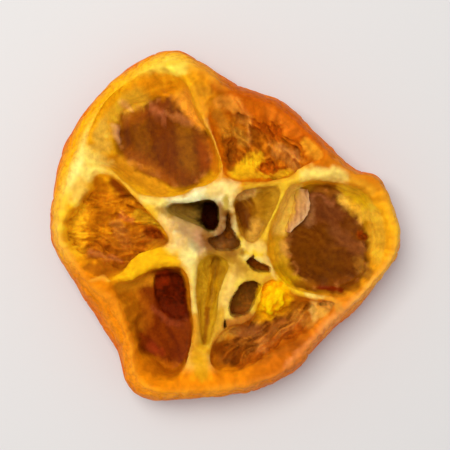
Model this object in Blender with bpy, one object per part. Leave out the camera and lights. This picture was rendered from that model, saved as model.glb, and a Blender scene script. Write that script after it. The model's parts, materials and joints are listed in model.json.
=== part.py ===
"""A dried slice of calamondin, a small sour orange, cut across its middle.

The slice is one piece: a ring of peel, the skins between the segments, the pithy core where they meet,
and in each segment the pulp that dried to a film or a crust across the middle of the thickness.
The body is a loft of rings inside the rim's outline. Each segment is then hollowed by a rounded cutter
from the cut face above and by one from the cut face below, which leaves the film between the two.

Metres, +Z up. The origin is at the centre of the slice's base, on the surface that it lies on.
"""

import math

import bmesh
import bpy
from mathutils import Vector, noise

MM = 0.001

# Driving sizes, in millimetres.
THICKNESS = 8.0
RIM_WAVE = 0.35
WEB_SAG = 1.25
CORE_LIFT = 0.75
CORE_SPREAD = 4.5
BASE_SAG = 0.9
BASE_LAND = 1.5
FLOOR_DISH = 0.35
PULP_GRAIN = 1.7
PEEL_WRINKLE = 0.22
PEEL_WRINKLE_WIDTH = 2.4
MOUTH_GROWTH = 0.32

# How finely the solid is faceted, in sides round a loop and in millimetres along one.
BODY_SIDES = 92
CUTTER_STEP = 1.25
FEWEST_CUTTER_SIDES = 10
MOST_CUTTER_SIDES = 32
MOST_UNDERSIDE_SIDES = 22

# The rim's outline from above, in millimetres from the middle, anticlockwise from the top.
RIM_OUTLINE = [
    (-6.2, 18.4), (-10.4, 16.4), (-14.0, 13.0), (-16.6, 9.0), (-18.0, 4.0), (-18.2, -1.4),
    (-16.2, -5.6), (-13.4, -9.9), (-11.3, -13.6), (-10.3, -16.9), (-7.9, -18.4), (-2.0, -18.2),
    (3.2, -17.4), (7.4, -15.2), (11.2, -11.2), (15.1, -7.4), (18.2, -2.8), (18.0, 0.9),
    (16.3, 4.9), (13.4, 6.0), (9.6, 9.7), (5.8, 13.1), (0.9, 15.0), (-2.9, 17.5),
]

# How far the rim's crest stands in from the outline, in millimetres, at each angle in degrees from +X.
CREST_INSET = [
    (0, 1.0), (45, 1.4), (95, 1.7), (128, 2.3), (152, 2.8), (182, 1.5), (198, 1.9), (217, 2.9), (234, 2.6),
    (252, 1.7), (278, 1.4), (315, 1.4),
]

# The side of the ring of peel, from base to crest: (share of the crest's inset, share of the height).
PEEL_SIDE = [(0.62, 0.07), (0.16, 0.24), (0.0, 0.43), (0.1, 0.62), (0.38, 0.82), (0.7, 0.95)]

# The inside of both cut faces, from the rim to the core, as shares of the way out from the core.
FACE_RINGS = [0.86, 0.68, 0.5, 0.32, 0.15]

# Each segment: its mouth's outline between the crests of its skins, and the oval floor that its walls
# run down to, as (middle, half length, half width, turn in degrees), with the floor's height and its
# slope along X and Y, the height of the film's underside, and how rough the dried pulp on it is. All in
# millimetres.
SEGMENTS = {
    "upper_left": {
        "mouth": [
            (-13.9, 7.0), (-13.6, 9.6), (-12.0, 12.6), (-9.5, 14.6), (-6.6, 15.4), (-4.4, 14.3),
            (-3.2, 11.6), (-2.0, 9.6), (-1.2, 7.8), (-0.7, 5.6), (-1.8, 4.4), (-3.7, 3.8),
            (-5.6, 3.1), (-8.0, 3.2), (-9.9, 4.5), (-11.5, 6.0), (-12.9, 6.4),
        ],
        "floor": ((-6.3, 9.0), 5.3, 4.1, -40),
        "height": 3.8, "slope": (0, 0.03), "ceiling": 3.1, "rough": 0.12,
    },
    "upper_right": {
        "mouth": [
            (0.2, 5.3), (-0.1, 6.7), (-0.5, 8.3), (-1.2, 10.0), (-1.4, 11.5), (-0.7, 12.8),
            (1.1, 13.2), (3.4, 12.6), (5.6, 11.1), (7.9, 9.1), (9.7, 7.2), (8.6, 6.5),
            (7.2, 5.8), (6.1, 5.1), (4.1, 4.7), (1.8, 4.7),
        ],
        "floor": ((3.7, 8.1), 4.6, 2.6, -32),
        "height": 5.2, "slope": (0.08, 0.12), "ceiling": 3.0, "rough": 0.7,
    },
    "right": {
        "mouth": [
            (7.4, 4.7), (9.0, 5.5), (10.8, 5.2), (12.6, 4.4), (14.4, 2.9), (15.6, 0.8), (16.0, -1.7),
            (15.4, -4.0), (13.9, -5.9), (12.2, -7.0), (10.2, -6.8), (8.3, -6.4), (6.5, -5.8), (5.3, -4.5),
            (4.7, -2.8), (4.7, -1.0), (5.2, 0.7), (6.0, 2.3), (6.8, 3.7),
        ],
        "floor": ((10.7, -1.3), 5.2, 3.8, 86),
        "height": 3.7, "slope": (0, 0), "ceiling": 3.0, "rough": 0.15,
    },
    "middle_right": {
        "mouth": [
            (1.4, 3.2), (3.2, 3.7), (5.1, 3.8), (5.4, 3.3), (4.8, 1.8), (4.0, 0.1), (3.3, -1.3),
            (2.7, -1.9), (2.2, -1.3), (1.75, 0.1), (1.35, 1.7),
        ],
        "floor": ((2.5, 1.3), 2.0, 0.8, -77),
        "height": 4.4, "slope": (0.25, 0), "ceiling": 3.0, "rough": 0.1,
    },
    "lower_right": {
        "mouth": [
            (4.4, -5.7), (5.7, -6.1), (7.0, -7.3), (8.8, -7.9), (10.4, -8.4), (9.7, -9.4), (8.0, -10.7),
            (6.0, -11.9), (3.8, -13.3), (1.3, -14.6), (-0.3, -14.7), (-1.2, -13.9), (-1.1, -12.5),
            (-0.4, -11.3), (0.7, -10.6), (2.0, -10.3), (3.2, -9.3), (4.0, -7.5),
        ],
        "floor": ((3.8, -11.5), 5.0, 1.6, 30),
        "height": 4.9, "slope": (0.06, -0.1), "ceiling": 2.8, "rough": 0.7,
    },
    "wedge": {
        "mouth": [
            (-2.3, -3.7), (-1.0, -3.3), (0.1, -4.0), (-0.4, -5.4), (-0.9, -7.2), (-1.2, -9.0),
            (-1.6, -10.9), (-2.0, -12.3), (-2.3, -10.7), (-2.5, -8.1), (-2.7, -5.7),
        ],
        "floor": ((-1.3, -6.6), 3.6, 0.55, 82),
        "height": 4.8, "slope": (0, -0.15), "ceiling": 2.9, "rough": 0.05,
    },
    "lower_left": {
        "mouth": [
            (-11.1, -6.0), (-9.5, -5.3), (-7.7, -4.5), (-5.5, -3.8), (-4.3, -4.2), (-3.7, -5.8),
            (-3.4, -8.0), (-3.3, -10.2), (-3.5, -12.5), (-4.1, -14.2), (-5.5, -15.4), (-7.2, -15.8),
            (-8.4, -15.2), (-8.9, -13.1), (-9.6, -10.4), (-10.4, -7.9),
        ],
        "floor": ((-6.7, -10.1), 5.0, 2.6, 96),
        "height": 4.1, "slope": (-0.12, 0), "ceiling": 2.3, "rough": 0.15,
    },
    "left": {
        "mouth": [
            (-12.8, 5.2), (-11.5, 4.7), (-10.1, 3.4), (-8.4, 1.9), (-7.2, 0.8), (-6.0, -0.5),
            (-5.7, -1.8), (-7.2, -2.3), (-8.7, -2.9), (-9.8, -3.7), (-10.7, -4.6), (-12.1, -5.0),
            (-14.0, -4.4), (-15.2, -3.0), (-15.9, -1.0), (-16.0, 1.3), (-15.6, 3.2), (-14.4, 4.8),
        ],
        "floor": ((-11.5, -0.5), 4.4, 3.5, -20),
        "height": 5.2, "slope": (-0.13, 0), "ceiling": 3.0, "rough": 0.7,
    },
    "core_hollow": {
        "mouth": [
            (-5.8, 1.7), (-4.4, 2.0), (-2.8, 2.3), (-1.5, 2.5), (-0.9, 2.1), (-0.85, 1.0), (-0.95, 0.0),
            (-1.5, -0.4), (-2.3, 0.1), (-3.3, 0.6), (-4.6, 1.0),
        ],
        "floor": ((-1.7, 1.1), 1.1, 0.7, -80),
        "height": 2.0, "slope": (0, 0), "ceiling": 1.3, "rough": 0.0,
    },
}

# Deeper pits, where the film has torn or a seed fell out, written as the segments are.
PITS = {
    "core_slit": {
        "mouth": [
            (0.0, 1.9), (0.5, 2.0), (0.6, 1.0), (0.95, 0.0), (1.35, -1.2), (1.2, -2.3), (0.3, -3.1),
            (-0.9, -3.0), (-1.1, -1.8), (-0.5, -1.0), (-0.05, -0.2), (0.0, 0.9),
        ],
        "floor": ((0.35, -1.2), 1.3, 0.5, 95),
        "height": 4.9,
    },
    "core_gap": {
        "mouth": [(1.7, -3.6), (3.1, -3.0), (4.5, -4.2), (4.2, -4.9), (3.0, -4.5)],
        "floor": ((3.3, -4.1), 0.8, 0.4, -25),
        "height": 4.4,
    },
    "seed_pocket": {
        "mouth": [
            (2.5, -5.6), (3.4, -5.8), (3.2, -7.0), (2.4, -8.7), (1.2, -9.4), (0.3, -8.9), (0.6, -7.6),
            (1.4, -6.3),
        ],
        "floor": ((1.9, -7.4), 1.6, 0.8, 55),
        "height": 4.0,
    },
    "torn_film": {
        "mouth": [
            (-7.2, -5.5), (-5.6, -5.0), (-4.5, -5.9), (-4.2, -8.4), (-4.9, -9.6), (-6.3, -9.3), (-7.3, -7.6),
        ],
        "floor": ((-5.6, -7.2), 1.9, 1.1, 100),
        "height": 3.1,
    },
    "pulp_pit_long": {
        "mouth": [(0.3, 8.8), (1.1, 9.1), (1.4, 7.6), (1.1, 6.2), (0.4, 6.4)],
        "floor": ((0.8, 7.6), 1.1, 0.35, 85),
        "height": 4.4,
    },
    "pulp_pit_round": {
        "mouth": [(3.5, 6.2), (4.6, 6.7), (5.6, 6.0), (5.3, 5.3), (3.9, 5.2)],
        "floor": ((4.5, 5.9), 0.8, 0.5, 0),
        "height": 4.5,
    },
}

# The cut face below shows the same segments, drawn in a little.
UNDERSIDE_SCALE = 0.93

# A plump lump of dried pulp beside the seed pocket, and a torn scrap of skin on the right segment's wall.
LUMP_CENTRE = (4.6, -7.2, 5.6)
LUMP_RADII = (1.35, 2.1, 1.1)
LUMP_TURN = math.radians(-24)
SCRAP_TOP = (6.3, 3.9, 6.8)
SCRAP_BOTTOM = (6.3, 0.2, 4.6)
SCRAP_WIDTH = 1.5
SCRAP_THICKNESS = 0.45

# A cutter starts this far outside the face that it cuts, and its wall bends in this far inside it.
CUTTER_REACH = 2.0
LIP = 0.12

# Corners nearer to each other than this are one corner, in metres.
SLIVER = 0.00003

# A floor's edge never comes nearer to its mouth than this share of the way out to it.
MOST_OF_THE_WAY = 0.93

# Shares of the way from the mouth to the floor's edge, and then from that edge to its middle.
UPPER_STEPS = ([0.0, 0.14, 0.33, 0.6, 0.86, 1.0], [0.38, 0.72])
UNDERSIDE_STEPS = ([0.0, 0.3, 1.0], [0.55])

# How steep a wall is at its mouth: a skin between segments hangs from its crest like a sail, and the
# peel, nearer than ROLL_FAR to the rim's crest, rolls over into the segment.
SKIN_STEEPNESS = 2.3
ROLL_STEEPNESS = 0.7
ROLL_NEAR = 0.7
ROLL_FAR = 2.4


def clear_scene():
    for item in list(bpy.data.objects):
        bpy.data.objects.remove(item, do_unlink=True)


def new_collection(name):
    collection = bpy.data.collections.new(name)
    bpy.context.scene.collection.children.link(collection)
    return collection


def rounded_loop(corners, sides):
    """A closed curve through the corners, as that many points the same distance apart."""
    dense = []
    for i in range(len(corners)):
        before, here, after, beyond = (Vector(corners[(i + k) % len(corners)]) for k in (-1, 0, 1, 2))
        for step in range(12):
            t = step / 12
            dense.append(
                0.5
                * (
                    2 * here
                    + (after - before) * t
                    + (2 * before - 5 * here + 4 * after - beyond) * t * t
                    + (3 * here - before - 3 * after + beyond) * t * t * t
                )
            )
    lengths = [0.0]
    for i, point in enumerate(dense):
        lengths.append(lengths[-1] + (dense[(i + 1) % len(dense)] - point).length)
    points, at = [], 0
    for side in range(sides):
        wanted = lengths[-1] * side / sides
        while lengths[at + 1] < wanted:
            at += 1
        share = (wanted - lengths[at]) / (lengths[at + 1] - lengths[at])
        points.append(dense[at].lerp(dense[(at + 1) % len(dense)], share))
    return points


def perimeter(corners):
    return sum((Vector(a) - Vector(b)).length for a, b in zip(corners, corners[1:] + corners[:1]))


def around(table, angle):
    """A value read from (degrees, value) pairs round the slice, eased from one pair to the next."""
    degrees = math.degrees(angle) % 360
    pairs = table + [(table[0][0] + 360, table[0][1])]
    for (low, value), (high, following) in zip(pairs, pairs[1:]):
        if low <= degrees <= high:
            eased = 0.5 - 0.5 * math.cos(math.pi * (degrees - low) / (high - low))
            return value + (following - value) * eased
    return table[0][1]


def rim_height(angle):
    """The ring of peel warps as it dries, so that its crest rises and falls round the slice."""
    wave = 0.6 * math.sin(2 * angle + 0.7) + 0.4 * math.sin(3 * angle - 1.0)
    return THICKNESS - RIM_WAVE * (1 - wave)


def upper_face(point, share):
    """The height of the upper cut face, which sags between the rim and the raised core."""
    angle = math.atan2(point.y, point.x)
    core = CORE_LIFT * math.exp(-((point.length / CORE_SPREAD) ** 2))
    return rim_height(angle) - WEB_SAG * (1 - share * share) + core


def lower_face(share):
    """The height of the lower cut face, drawn up a little inside the land that it rests on."""
    return BASE_SAG * (1 - share**3)


def share_of_way_out(point, loop):
    """How far out a point lies from the middle, as a share of the loop's distance in its direction."""
    nearest = max(loop, key=lambda p: p.dot(point) / p.length)
    return min(1.0, point.length / nearest.length)


def solid_from_rings(name, rings, collection, capped_by_point=(True, True)):
    """A closed mesh object through rings of points, ended by a point or by a flat face."""
    mesh_data = bmesh.new()
    loops = [[mesh_data.verts.new(point * MM) for point in ring] for ring in rings]
    for lower, upper in zip(loops, loops[1:]):
        for i in range(len(lower)):
            j = (i + 1) % len(lower)
            mesh_data.faces.new((lower[i], lower[j], upper[j], upper[i]))
    for loop, by_point in ((loops[0], capped_by_point[0]), (loops[-1], capped_by_point[1])):
        if not by_point:
            mesh_data.faces.new(loop)
            continue
        middle = sum((vertex.co for vertex in loop), Vector()) / len(loop)
        pole = mesh_data.verts.new(middle)
        for i in range(len(loop)):
            mesh_data.faces.new((loop[i], loop[(i + 1) % len(loop)], pole))
    bmesh.ops.recalc_face_normals(mesh_data, faces=mesh_data.faces)
    mesh = bpy.data.meshes.new(name)
    mesh_data.to_mesh(mesh)
    mesh_data.free()
    made = bpy.data.objects.new(name, mesh)
    collection.objects.link(made)
    return made


def inset_loop(outline, insets):
    return [point - point.normalized() * inset for point, inset in zip(outline, insets)]


def grown_loop(loop, distance):
    """The loop with every point moved outward, square to the loop there."""
    grown = []
    for i, point in enumerate(loop):
        along = (loop[(i + 1) % len(loop)] - loop[i - 1]).normalized()
        grown.append(point + Vector((along.y, -along.x)) * distance)
    if perimeter(grown) < perimeter(loop):
        return grown_loop(loop, -distance)
    return grown


def wrinkled(ring, height_share):
    """The side of the peel, shrivelled most halfway up, with creases that run up and down it."""
    depth = PEEL_WRINKLE * math.sin(math.pi * height_share)
    points = []
    for point in ring:
        crease = noise.noise(Vector((point.x, point.y, point.z * 0.45)) / PEEL_WRINKLE_WIDTH)
        points.append(point - point.to_2d().normalized().to_3d() * depth * (0.5 + 0.5 * crease))
    return points


def slice_body(outline, insets, collection):
    """The uncut disc: base, side of peel, crest, and the upper face down to the core."""
    angles = [math.atan2(point.y, point.x) for point in outline]
    crest = inset_loop(outline, insets)
    land = inset_loop(outline, [inset + BASE_LAND for inset in insets])
    rings = []
    for share in reversed(FACE_RINGS):
        rings.append([(p * share).to_3d() + Vector((0, 0, lower_face(share))) for p in land])
    rings.append([p.to_3d() for p in land])
    rings.append([p.to_3d() for p in crest])
    for inset_share, height_share in PEEL_SIDE:
        ring = inset_loop(outline, [inset * inset_share for inset in insets])
        ring = [p.to_3d() + Vector((0, 0, rim_height(a) * height_share)) for p, a in zip(ring, angles)]
        rings.append(wrinkled(ring, height_share))
    rings.append([p.to_3d() + Vector((0, 0, rim_height(angle))) for p, angle in zip(crest, angles)])
    for share in FACE_RINGS:
        rings.append([(p * share).to_3d() + Vector((0, 0, upper_face(p * share, share))) for p in crest])
    return solid_from_rings("calamondin_slice", rings, collection)


def floor_edge(point, floor):
    """The point of the oval floor's edge that lies on the way from its middle to a point of the mouth."""
    middle, half_length, half_width, turn = floor
    outward = point - Vector(middle)
    angle = math.atan2(outward.y, outward.x) - math.radians(turn)
    across = math.hypot(half_width * math.cos(angle), half_length * math.sin(angle))
    radius = half_length * half_width / across
    return Vector(middle) + outward * min(MOST_OF_THE_WAY, radius / outward.length)


def steepness(point, crest):
    """How steep a wall starts at a point of its mouth, which is less beside the rim's crest."""
    away = min((point - mark).length for mark in crest)
    share = min(1.0, max(0.0, (away - ROLL_NEAR) / (ROLL_FAR - ROLL_NEAR)))
    return ROLL_STEEPNESS + (SKIN_STEEPNESS - ROLL_STEEPNESS) * share


def hollow_rings(mouth, hollow, outside, edges, bends, bottom, rough, steps):
    """Rings from outside the face, down a wall that bends as given, and over the dished floor."""
    middle = Vector(hollow["floor"][0])
    slope = Vector(hollow.get("slope", (0, 0)))
    floor_loop = [floor_edge(point, hollow["floor"]) for point in mouth]
    dish = math.copysign(FLOOR_DISH, outside - bottom)
    rings = [[point.to_3d() + Vector((0, 0, outside)) for point in mouth]]
    wall_steps, floor_steps = steps
    for step in wall_steps:
        ring = []
        for point, edge, bend, foot in zip(mouth, edges, bends, floor_loop):
            fall = 1 - (1 - step) ** bend
            height = bottom + dish + slope.dot(foot - middle)
            ring.append(point.lerp(foot, step).to_3d() + Vector((0, 0, edge + (height - edge) * fall)))
        rings.append(ring)
    for step in floor_steps:
        ring = []
        for foot in floor_loop:
            flat = foot.lerp(middle, step)
            height = bottom + dish * (1 - step) + slope.dot(flat - middle)
            grain = rough * noise.noise(flat.to_3d() / PULP_GRAIN)
            ring.append(flat.to_3d() + Vector((0, 0, height + grain)))
        rings.append(ring)
    return rings


def cutter(name, rings, collection):
    made = solid_from_rings(name, rings, collection, capped_by_point=(False, True))
    made.hide_render = True
    made.display_type = "WIRE"


def cutter_sides(corners, most):
    return min(most, max(FEWEST_CUTTER_SIDES, round(perimeter(corners) / CUTTER_STEP)))


def upper_cutters(crest, collection):
    """One rounded cutter for each segment and pit, from above the upper face down to its floor."""
    for name, hollow in {**SEGMENTS, **PITS}.items():
        mouth = rounded_loop(hollow["mouth"], cutter_sides(hollow["mouth"], MOST_CUTTER_SIDES))
        if name in SEGMENTS:
            mouth = grown_loop(mouth, MOUTH_GROWTH)
        edges = [upper_face(point, share_of_way_out(point, crest)) - LIP for point in mouth]
        bends = [steepness(point, crest) for point in mouth]
        rough = hollow.get("rough", 0.0)
        outside = THICKNESS + CUTTER_REACH
        rings = hollow_rings(mouth, hollow, outside, edges, bends, hollow["height"], rough, UPPER_STEPS)
        cutter("cut_" + name, rings, collection)


def lower_cutters(land, collection):
    """The same segments from below, up to the underside of the film."""
    for name, segment in SEGMENTS.items():
        loop = rounded_loop(segment["mouth"], cutter_sides(segment["mouth"], MOST_UNDERSIDE_SIDES))
        centre = sum(loop, Vector((0, 0))) / len(loop)
        mouth = [centre + (point - centre) * UNDERSIDE_SCALE for point in loop]
        edges = [lower_face(share_of_way_out(point, land)) + LIP for point in mouth]
        bends = [SKIN_STEEPNESS] * len(mouth)
        level = {"floor": segment["floor"]}
        ceiling = segment["ceiling"]
        rings = hollow_rings(mouth, level, -CUTTER_REACH, edges, bends, ceiling, 0.0, UNDERSIDE_STEPS)
        cutter("undercut_" + name, rings, collection)


def pulp_lump(collection):
    """The lump of dried pulp, a squashed ball sunk in the skin between two segments."""
    bpy.ops.mesh.primitive_uv_sphere_add(segments=16, ring_count=10, radius=MM)
    lump = bpy.context.object
    lump.name = "pulp_lump"
    lump.scale = LUMP_RADII
    lump.rotation_euler = (0, 0, LUMP_TURN)
    lump.location = Vector(LUMP_CENTRE) * MM
    for owner in list(lump.users_collection):
        owner.objects.unlink(lump)
    collection.objects.link(lump)


def skin_scrap(collection):
    """The torn scrap of segment skin, a bent strip that leans on the wall."""
    top, bottom = Vector(SCRAP_TOP), Vector(SCRAP_BOTTOM)
    rings = []
    for step in range(6):
        share = step / 5
        middle = top.lerp(bottom, share) + Vector((0.5 * math.sin(math.pi * share), 0, 0))
        half = 0.5 * SCRAP_WIDTH * (0.75 + 0.35 * math.sin(math.pi * share))
        ring = []
        for side in range(8):
            turn = 2 * math.pi * side / 8
            across = Vector((math.cos(turn) * half, 0, -0.5 * math.cos(turn) * half))
            ring.append(middle + across + Vector((0, 0, math.sin(turn) * 0.5 * SCRAP_THICKNESS)))
        rings.append(ring)
    solid_from_rings("skin_scrap", rings, collection)


def add_boolean(target, operation, operands):
    boolean = target.modifiers.new(operation.title(), "BOOLEAN")
    boolean.operation = operation
    boolean.operand_type = "COLLECTION"
    boolean.collection = operands
    boolean.solver = "EXACT"


def apply_modifiers(target):
    graph = bpy.context.evaluated_depsgraph_get()
    mesh = bpy.data.meshes.new_from_object(target.evaluated_get(graph))
    target.modifiers.clear()
    target.data = mesh


def drop_slivers(target):
    """Cutting leaves a few faces with no area along the mouths: their corners are merged away."""
    mesh_data = bmesh.new()
    mesh_data.from_mesh(target.data)
    bmesh.ops.triangulate(mesh_data, faces=mesh_data.faces)
    bmesh.ops.remove_doubles(mesh_data, verts=mesh_data.verts, dist=SLIVER)
    bmesh.ops.dissolve_degenerate(mesh_data, edges=mesh_data.edges, dist=SLIVER)
    mesh_data.to_mesh(target.data)
    mesh_data.free()


def remove_collection(collection):
    for item in list(collection.objects):
        bpy.data.objects.remove(item, do_unlink=True)
    bpy.data.collections.remove(collection)


def dried_peel_material():
    material = bpy.data.materials.new("dried_calamondin")
    material.use_nodes = True
    shader = material.node_tree.nodes["Principled BSDF"]
    shader.inputs["Base Color"].default_value = (0.72, 0.27, 0.03, 1.0)
    shader.inputs["Roughness"].default_value = 0.42
    shader.inputs["Metallic"].default_value = 0.0
    return material


def main():
    clear_scene()
    parts = new_collection("Dried calamondin slice")
    cutters = new_collection("Segment cutters")
    relief = new_collection("Fused relief")
    outline = rounded_loop(RIM_OUTLINE, BODY_SIDES)
    insets = [around(CREST_INSET, math.atan2(point.y, point.x)) for point in outline]
    body = slice_body(outline, insets, parts)
    upper_cutters(inset_loop(outline, insets), cutters)
    lower_cutters(inset_loop(outline, [inset + BASE_LAND for inset in insets]), cutters)
    add_boolean(body, "DIFFERENCE", cutters)
    apply_modifiers(body)
    pulp_lump(relief)
    skin_scrap(relief)
    add_boolean(body, "UNION", relief)
    apply_modifiers(body)
    drop_slivers(body)
    remove_collection(relief)
    body.data.materials.clear()
    body.data.materials.append(dried_peel_material())
    body.data.shade_smooth()
    body.data.set_sharp_from_angle(angle=math.radians(50))


main()
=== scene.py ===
import json
import math

import bmesh
import bpy
from mathutils import Euler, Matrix, Vector, kdtree, noise

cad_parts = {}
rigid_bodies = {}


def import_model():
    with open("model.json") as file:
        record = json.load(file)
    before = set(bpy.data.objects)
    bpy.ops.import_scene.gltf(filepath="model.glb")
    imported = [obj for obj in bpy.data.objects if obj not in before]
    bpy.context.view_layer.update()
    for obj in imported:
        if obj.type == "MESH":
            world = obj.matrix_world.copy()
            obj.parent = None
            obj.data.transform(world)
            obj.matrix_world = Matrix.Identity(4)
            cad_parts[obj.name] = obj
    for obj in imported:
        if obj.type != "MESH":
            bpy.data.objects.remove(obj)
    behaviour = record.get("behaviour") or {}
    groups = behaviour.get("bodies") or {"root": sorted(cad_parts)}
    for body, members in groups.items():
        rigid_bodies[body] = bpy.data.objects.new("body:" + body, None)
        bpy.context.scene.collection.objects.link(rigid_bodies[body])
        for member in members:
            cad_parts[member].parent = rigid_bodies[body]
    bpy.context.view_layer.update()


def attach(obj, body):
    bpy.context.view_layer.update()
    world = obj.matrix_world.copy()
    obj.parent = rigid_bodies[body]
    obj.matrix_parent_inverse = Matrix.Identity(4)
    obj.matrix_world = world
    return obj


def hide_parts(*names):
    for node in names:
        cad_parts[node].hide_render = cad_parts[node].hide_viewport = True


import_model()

bpy.ops.object.select_all(action="DESELECT")


# The slice is one cut across a small sour orange, dried on a rack. Its peel is a leathery ring that
# bulges at the side, and the cut faces sag between that ring and the pithy core. It is drawn as a small
# circle in the base, extruded ring by ring out to the peel, up its side to the crest and in to the core.
MM = 0.001
THICKNESS = 8.0
RIM_WAVE = 0.35
WEB_SAG = 1.25
CORE_LIFT = 0.75
CORE_SPREAD = 4.5
BASE_SAG = 0.9
BASE_LAND = 1.5
RIM_SIDES = 300
RIM_OUTLINE = [
    (-6.2, 18.4), (-10.4, 16.4), (-14, 13), (-16.6, 9), (-18, 4), (-18.2, -1.4),
    (-16.2, -5.6), (-13.4, -9.9), (-11.3, -13.6), (-10.3, -16.9), (-7.9, -18.4), (-2, -18.2),
    (3.2, -17.4), (7.4, -15.2), (11.2, -11.2), (15.1, -7.4), (18.2, -2.8), (18, 0.9),
    (16.3, 4.9), (13.4, 6), (9.6, 9.7), (5.8, 13.1), (0.9, 15), (-2.9, 17.5),
]
CREST_INSET = [
    (0, 1), (45, 1.4), (95, 1.7), (128, 2.3), (152, 2.8), (182, 1.5), (198, 1.9), (217, 2.9), (234, 2.6),
    (252, 1.7), (278, 1.4), (315, 1.4),
]
PEEL_SIDE = [
    (1, 0), (0.62, 0.07), (0.16, 0.24), (0, 0.43), (0.1, 0.62), (0.38, 0.82), (0.7, 0.95), (1, 1),
]
PEEL_RINGS = 30
FACE_RINGS = 26
CURVE_STEPS = 12


def on_curve(points, at):
    """A point part of the way along an open curve through the points, at counted in points."""
    here = min(int(at), len(points) - 2)
    t = at - here
    a, b, c, d = (Vector(points[max(0, min(len(points) - 1, here + k))]) for k in (-1, 0, 1, 2))
    return 0.5 * (2 * b + (c - a) * t + (2 * a - 5 * b + 4 * c - d) * t * t + (3 * b - a - 3 * c + d) * t**3)


def rounded_loop(corners, sides):
    """A closed curve through the corners, as that many points the same distance apart."""
    wrapped = [corners[-1], *corners, corners[0], corners[1]]
    dense = [on_curve(wrapped, 1 + k / CURVE_STEPS) for k in range(CURVE_STEPS * len(corners))]
    reached = [0.0]
    for a, b in zip(dense, dense[1:] + dense[:1]):
        reached.append(reached[-1] + (b - a).length)
    points, at = [], 0
    for side in range(sides):
        wanted = reached[-1] * side / sides
        while reached[at + 1] < wanted:
            at += 1
        share = (wanted - reached[at]) / (reached[at + 1] - reached[at])
        points.append(dense[at].lerp(dense[(at + 1) % len(dense)], share))
    return points


def around(table, degrees):
    """A value read from (degrees, value) pairs round the slice, eased from one pair to the next."""
    degrees %= 360
    pairs = table + [(table[0][0] + 360, table[0][1])]
    for (low, value), (high, following) in zip(pairs, pairs[1:]):
        if low <= degrees <= high:
            share = 0.5 - 0.5 * math.cos(math.pi * (degrees - low) / (high - low))
            return value + (following - value) * share
    return table[0][1]


def bearing(point):
    """The direction of a point from the middle of the slice, in degrees from 0 to 360."""
    return math.degrees(math.atan2(point[1], point[0])) % 360


def rim_height(degrees):
    """The ring of peel warps as it dries, so that its crest rises and falls round the slice."""
    angle = math.radians(degrees)
    return THICKNESS - RIM_WAVE * (1 - 0.6 * math.sin(2 * angle + 0.7) - 0.4 * math.sin(3 * angle - 1.0))


def inset(points, insets):
    """The points drawn in towards the middle, each by its own distance."""
    return [point - point.normalized() * distance for point, distance in zip(points, insets)]


def draw_rings(name, rings):
    """A closed piece drawn from the given rings: a circle, an extrusion for each further ring, and both ends
    closed.
    """
    bpy.ops.mesh.primitive_circle_add(vertices=len(rings[0]), radius=MM)
    piece = bpy.context.object
    piece.name = name
    bpy.ops.object.mode_set(mode="EDIT")
    mesh = bmesh.from_edit_mesh(piece.data)
    turn = mesh.verts.layers.int.new("turn")
    for number, vert in enumerate(mesh.verts):
        vert[turn] = number
        vert.co = rings[0][number] * MM
    for ring in rings[1:]:
        bpy.ops.mesh.extrude_region_move()
        mesh = bmesh.from_edit_mesh(piece.data)
        turn = mesh.verts.layers.int["turn"]
        for vert in mesh.verts:
            if vert.select:
                vert.co = ring[vert[turn]] * MM
    bpy.ops.mesh.edge_face_add()
    bpy.ops.mesh.select_all(action="DESELECT")
    bpy.ops.mesh.select_mode(type="EDGE")
    bpy.ops.mesh.select_non_manifold(extend=False)
    bpy.ops.mesh.edge_face_add()
    bpy.ops.mesh.select_all(action="SELECT")
    bpy.ops.mesh.normals_make_consistent(inside=False)
    bpy.ops.object.mode_set(mode="OBJECT")
    return piece


outline = rounded_loop(RIM_OUTLINE, RIM_SIDES)
crest_insets = [around(CREST_INSET, bearing(point)) for point in outline]
crest = inset(outline, crest_insets)
land = inset(outline, [distance + BASE_LAND for distance in crest_insets])

crest_radii = [0.0] * 361
land_radii = [0.0] * 361
for loop, radii in ((crest, crest_radii), (land, land_radii)):
    marks = sorted((bearing(point), point.length) for point in loop)
    for degree in range(361):
        radii[degree] = min(marks, key=lambda mark: abs(mark[0] - degree % 360))[1]


def way_out(x, y, radii):
    """How far out a point lies from the middle, as a share of the loop's distance in its direction."""
    degrees = bearing((x, y))
    low = int(degrees)
    radius = radii[low] + (radii[low + 1] - radii[low]) * (degrees - low)
    return min(1.0, math.hypot(x, y) / radius)


def upper_face(x, y):
    """The height of the upper cut face, which sags between the rim and the raised core."""
    core = CORE_LIFT * math.exp(-(x * x + y * y) / CORE_SPREAD**2)
    return rim_height(bearing((x, y))) - WEB_SAG * (1 - way_out(x, y, crest_radii) ** 2) + core


def lower_face(x, y):
    """The height of the lower cut face, drawn up a little inside the land that it rests on."""
    return BASE_SAG * (1 - way_out(x, y, land_radii) ** 3)


rings = []
for step in range(1, FACE_RINGS + 1):
    share = step / FACE_RINGS
    rings.append([Vector((p.x * share, p.y * share, BASE_SAG * (1 - share**3))) for p in land])
for step in range(PEEL_RINGS + 1):
    inset_share, height_share = on_curve(PEEL_SIDE, step * (len(PEEL_SIDE) - 1) / PEEL_RINGS)
    ring = inset(outline, [distance * inset_share for distance in crest_insets])
    rings.append([Vector((p.x, p.y, rim_height(bearing(p)) * height_share)) for p in ring])
for step in range(FACE_RINGS - 1, 0, -1):
    share = step / FACE_RINGS
    rings.append([Vector((p.x * share, p.y * share, upper_face(p.x * share, p.y * share))) for p in crest])
dried_slice = draw_rings("dried_slice", rings)


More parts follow.
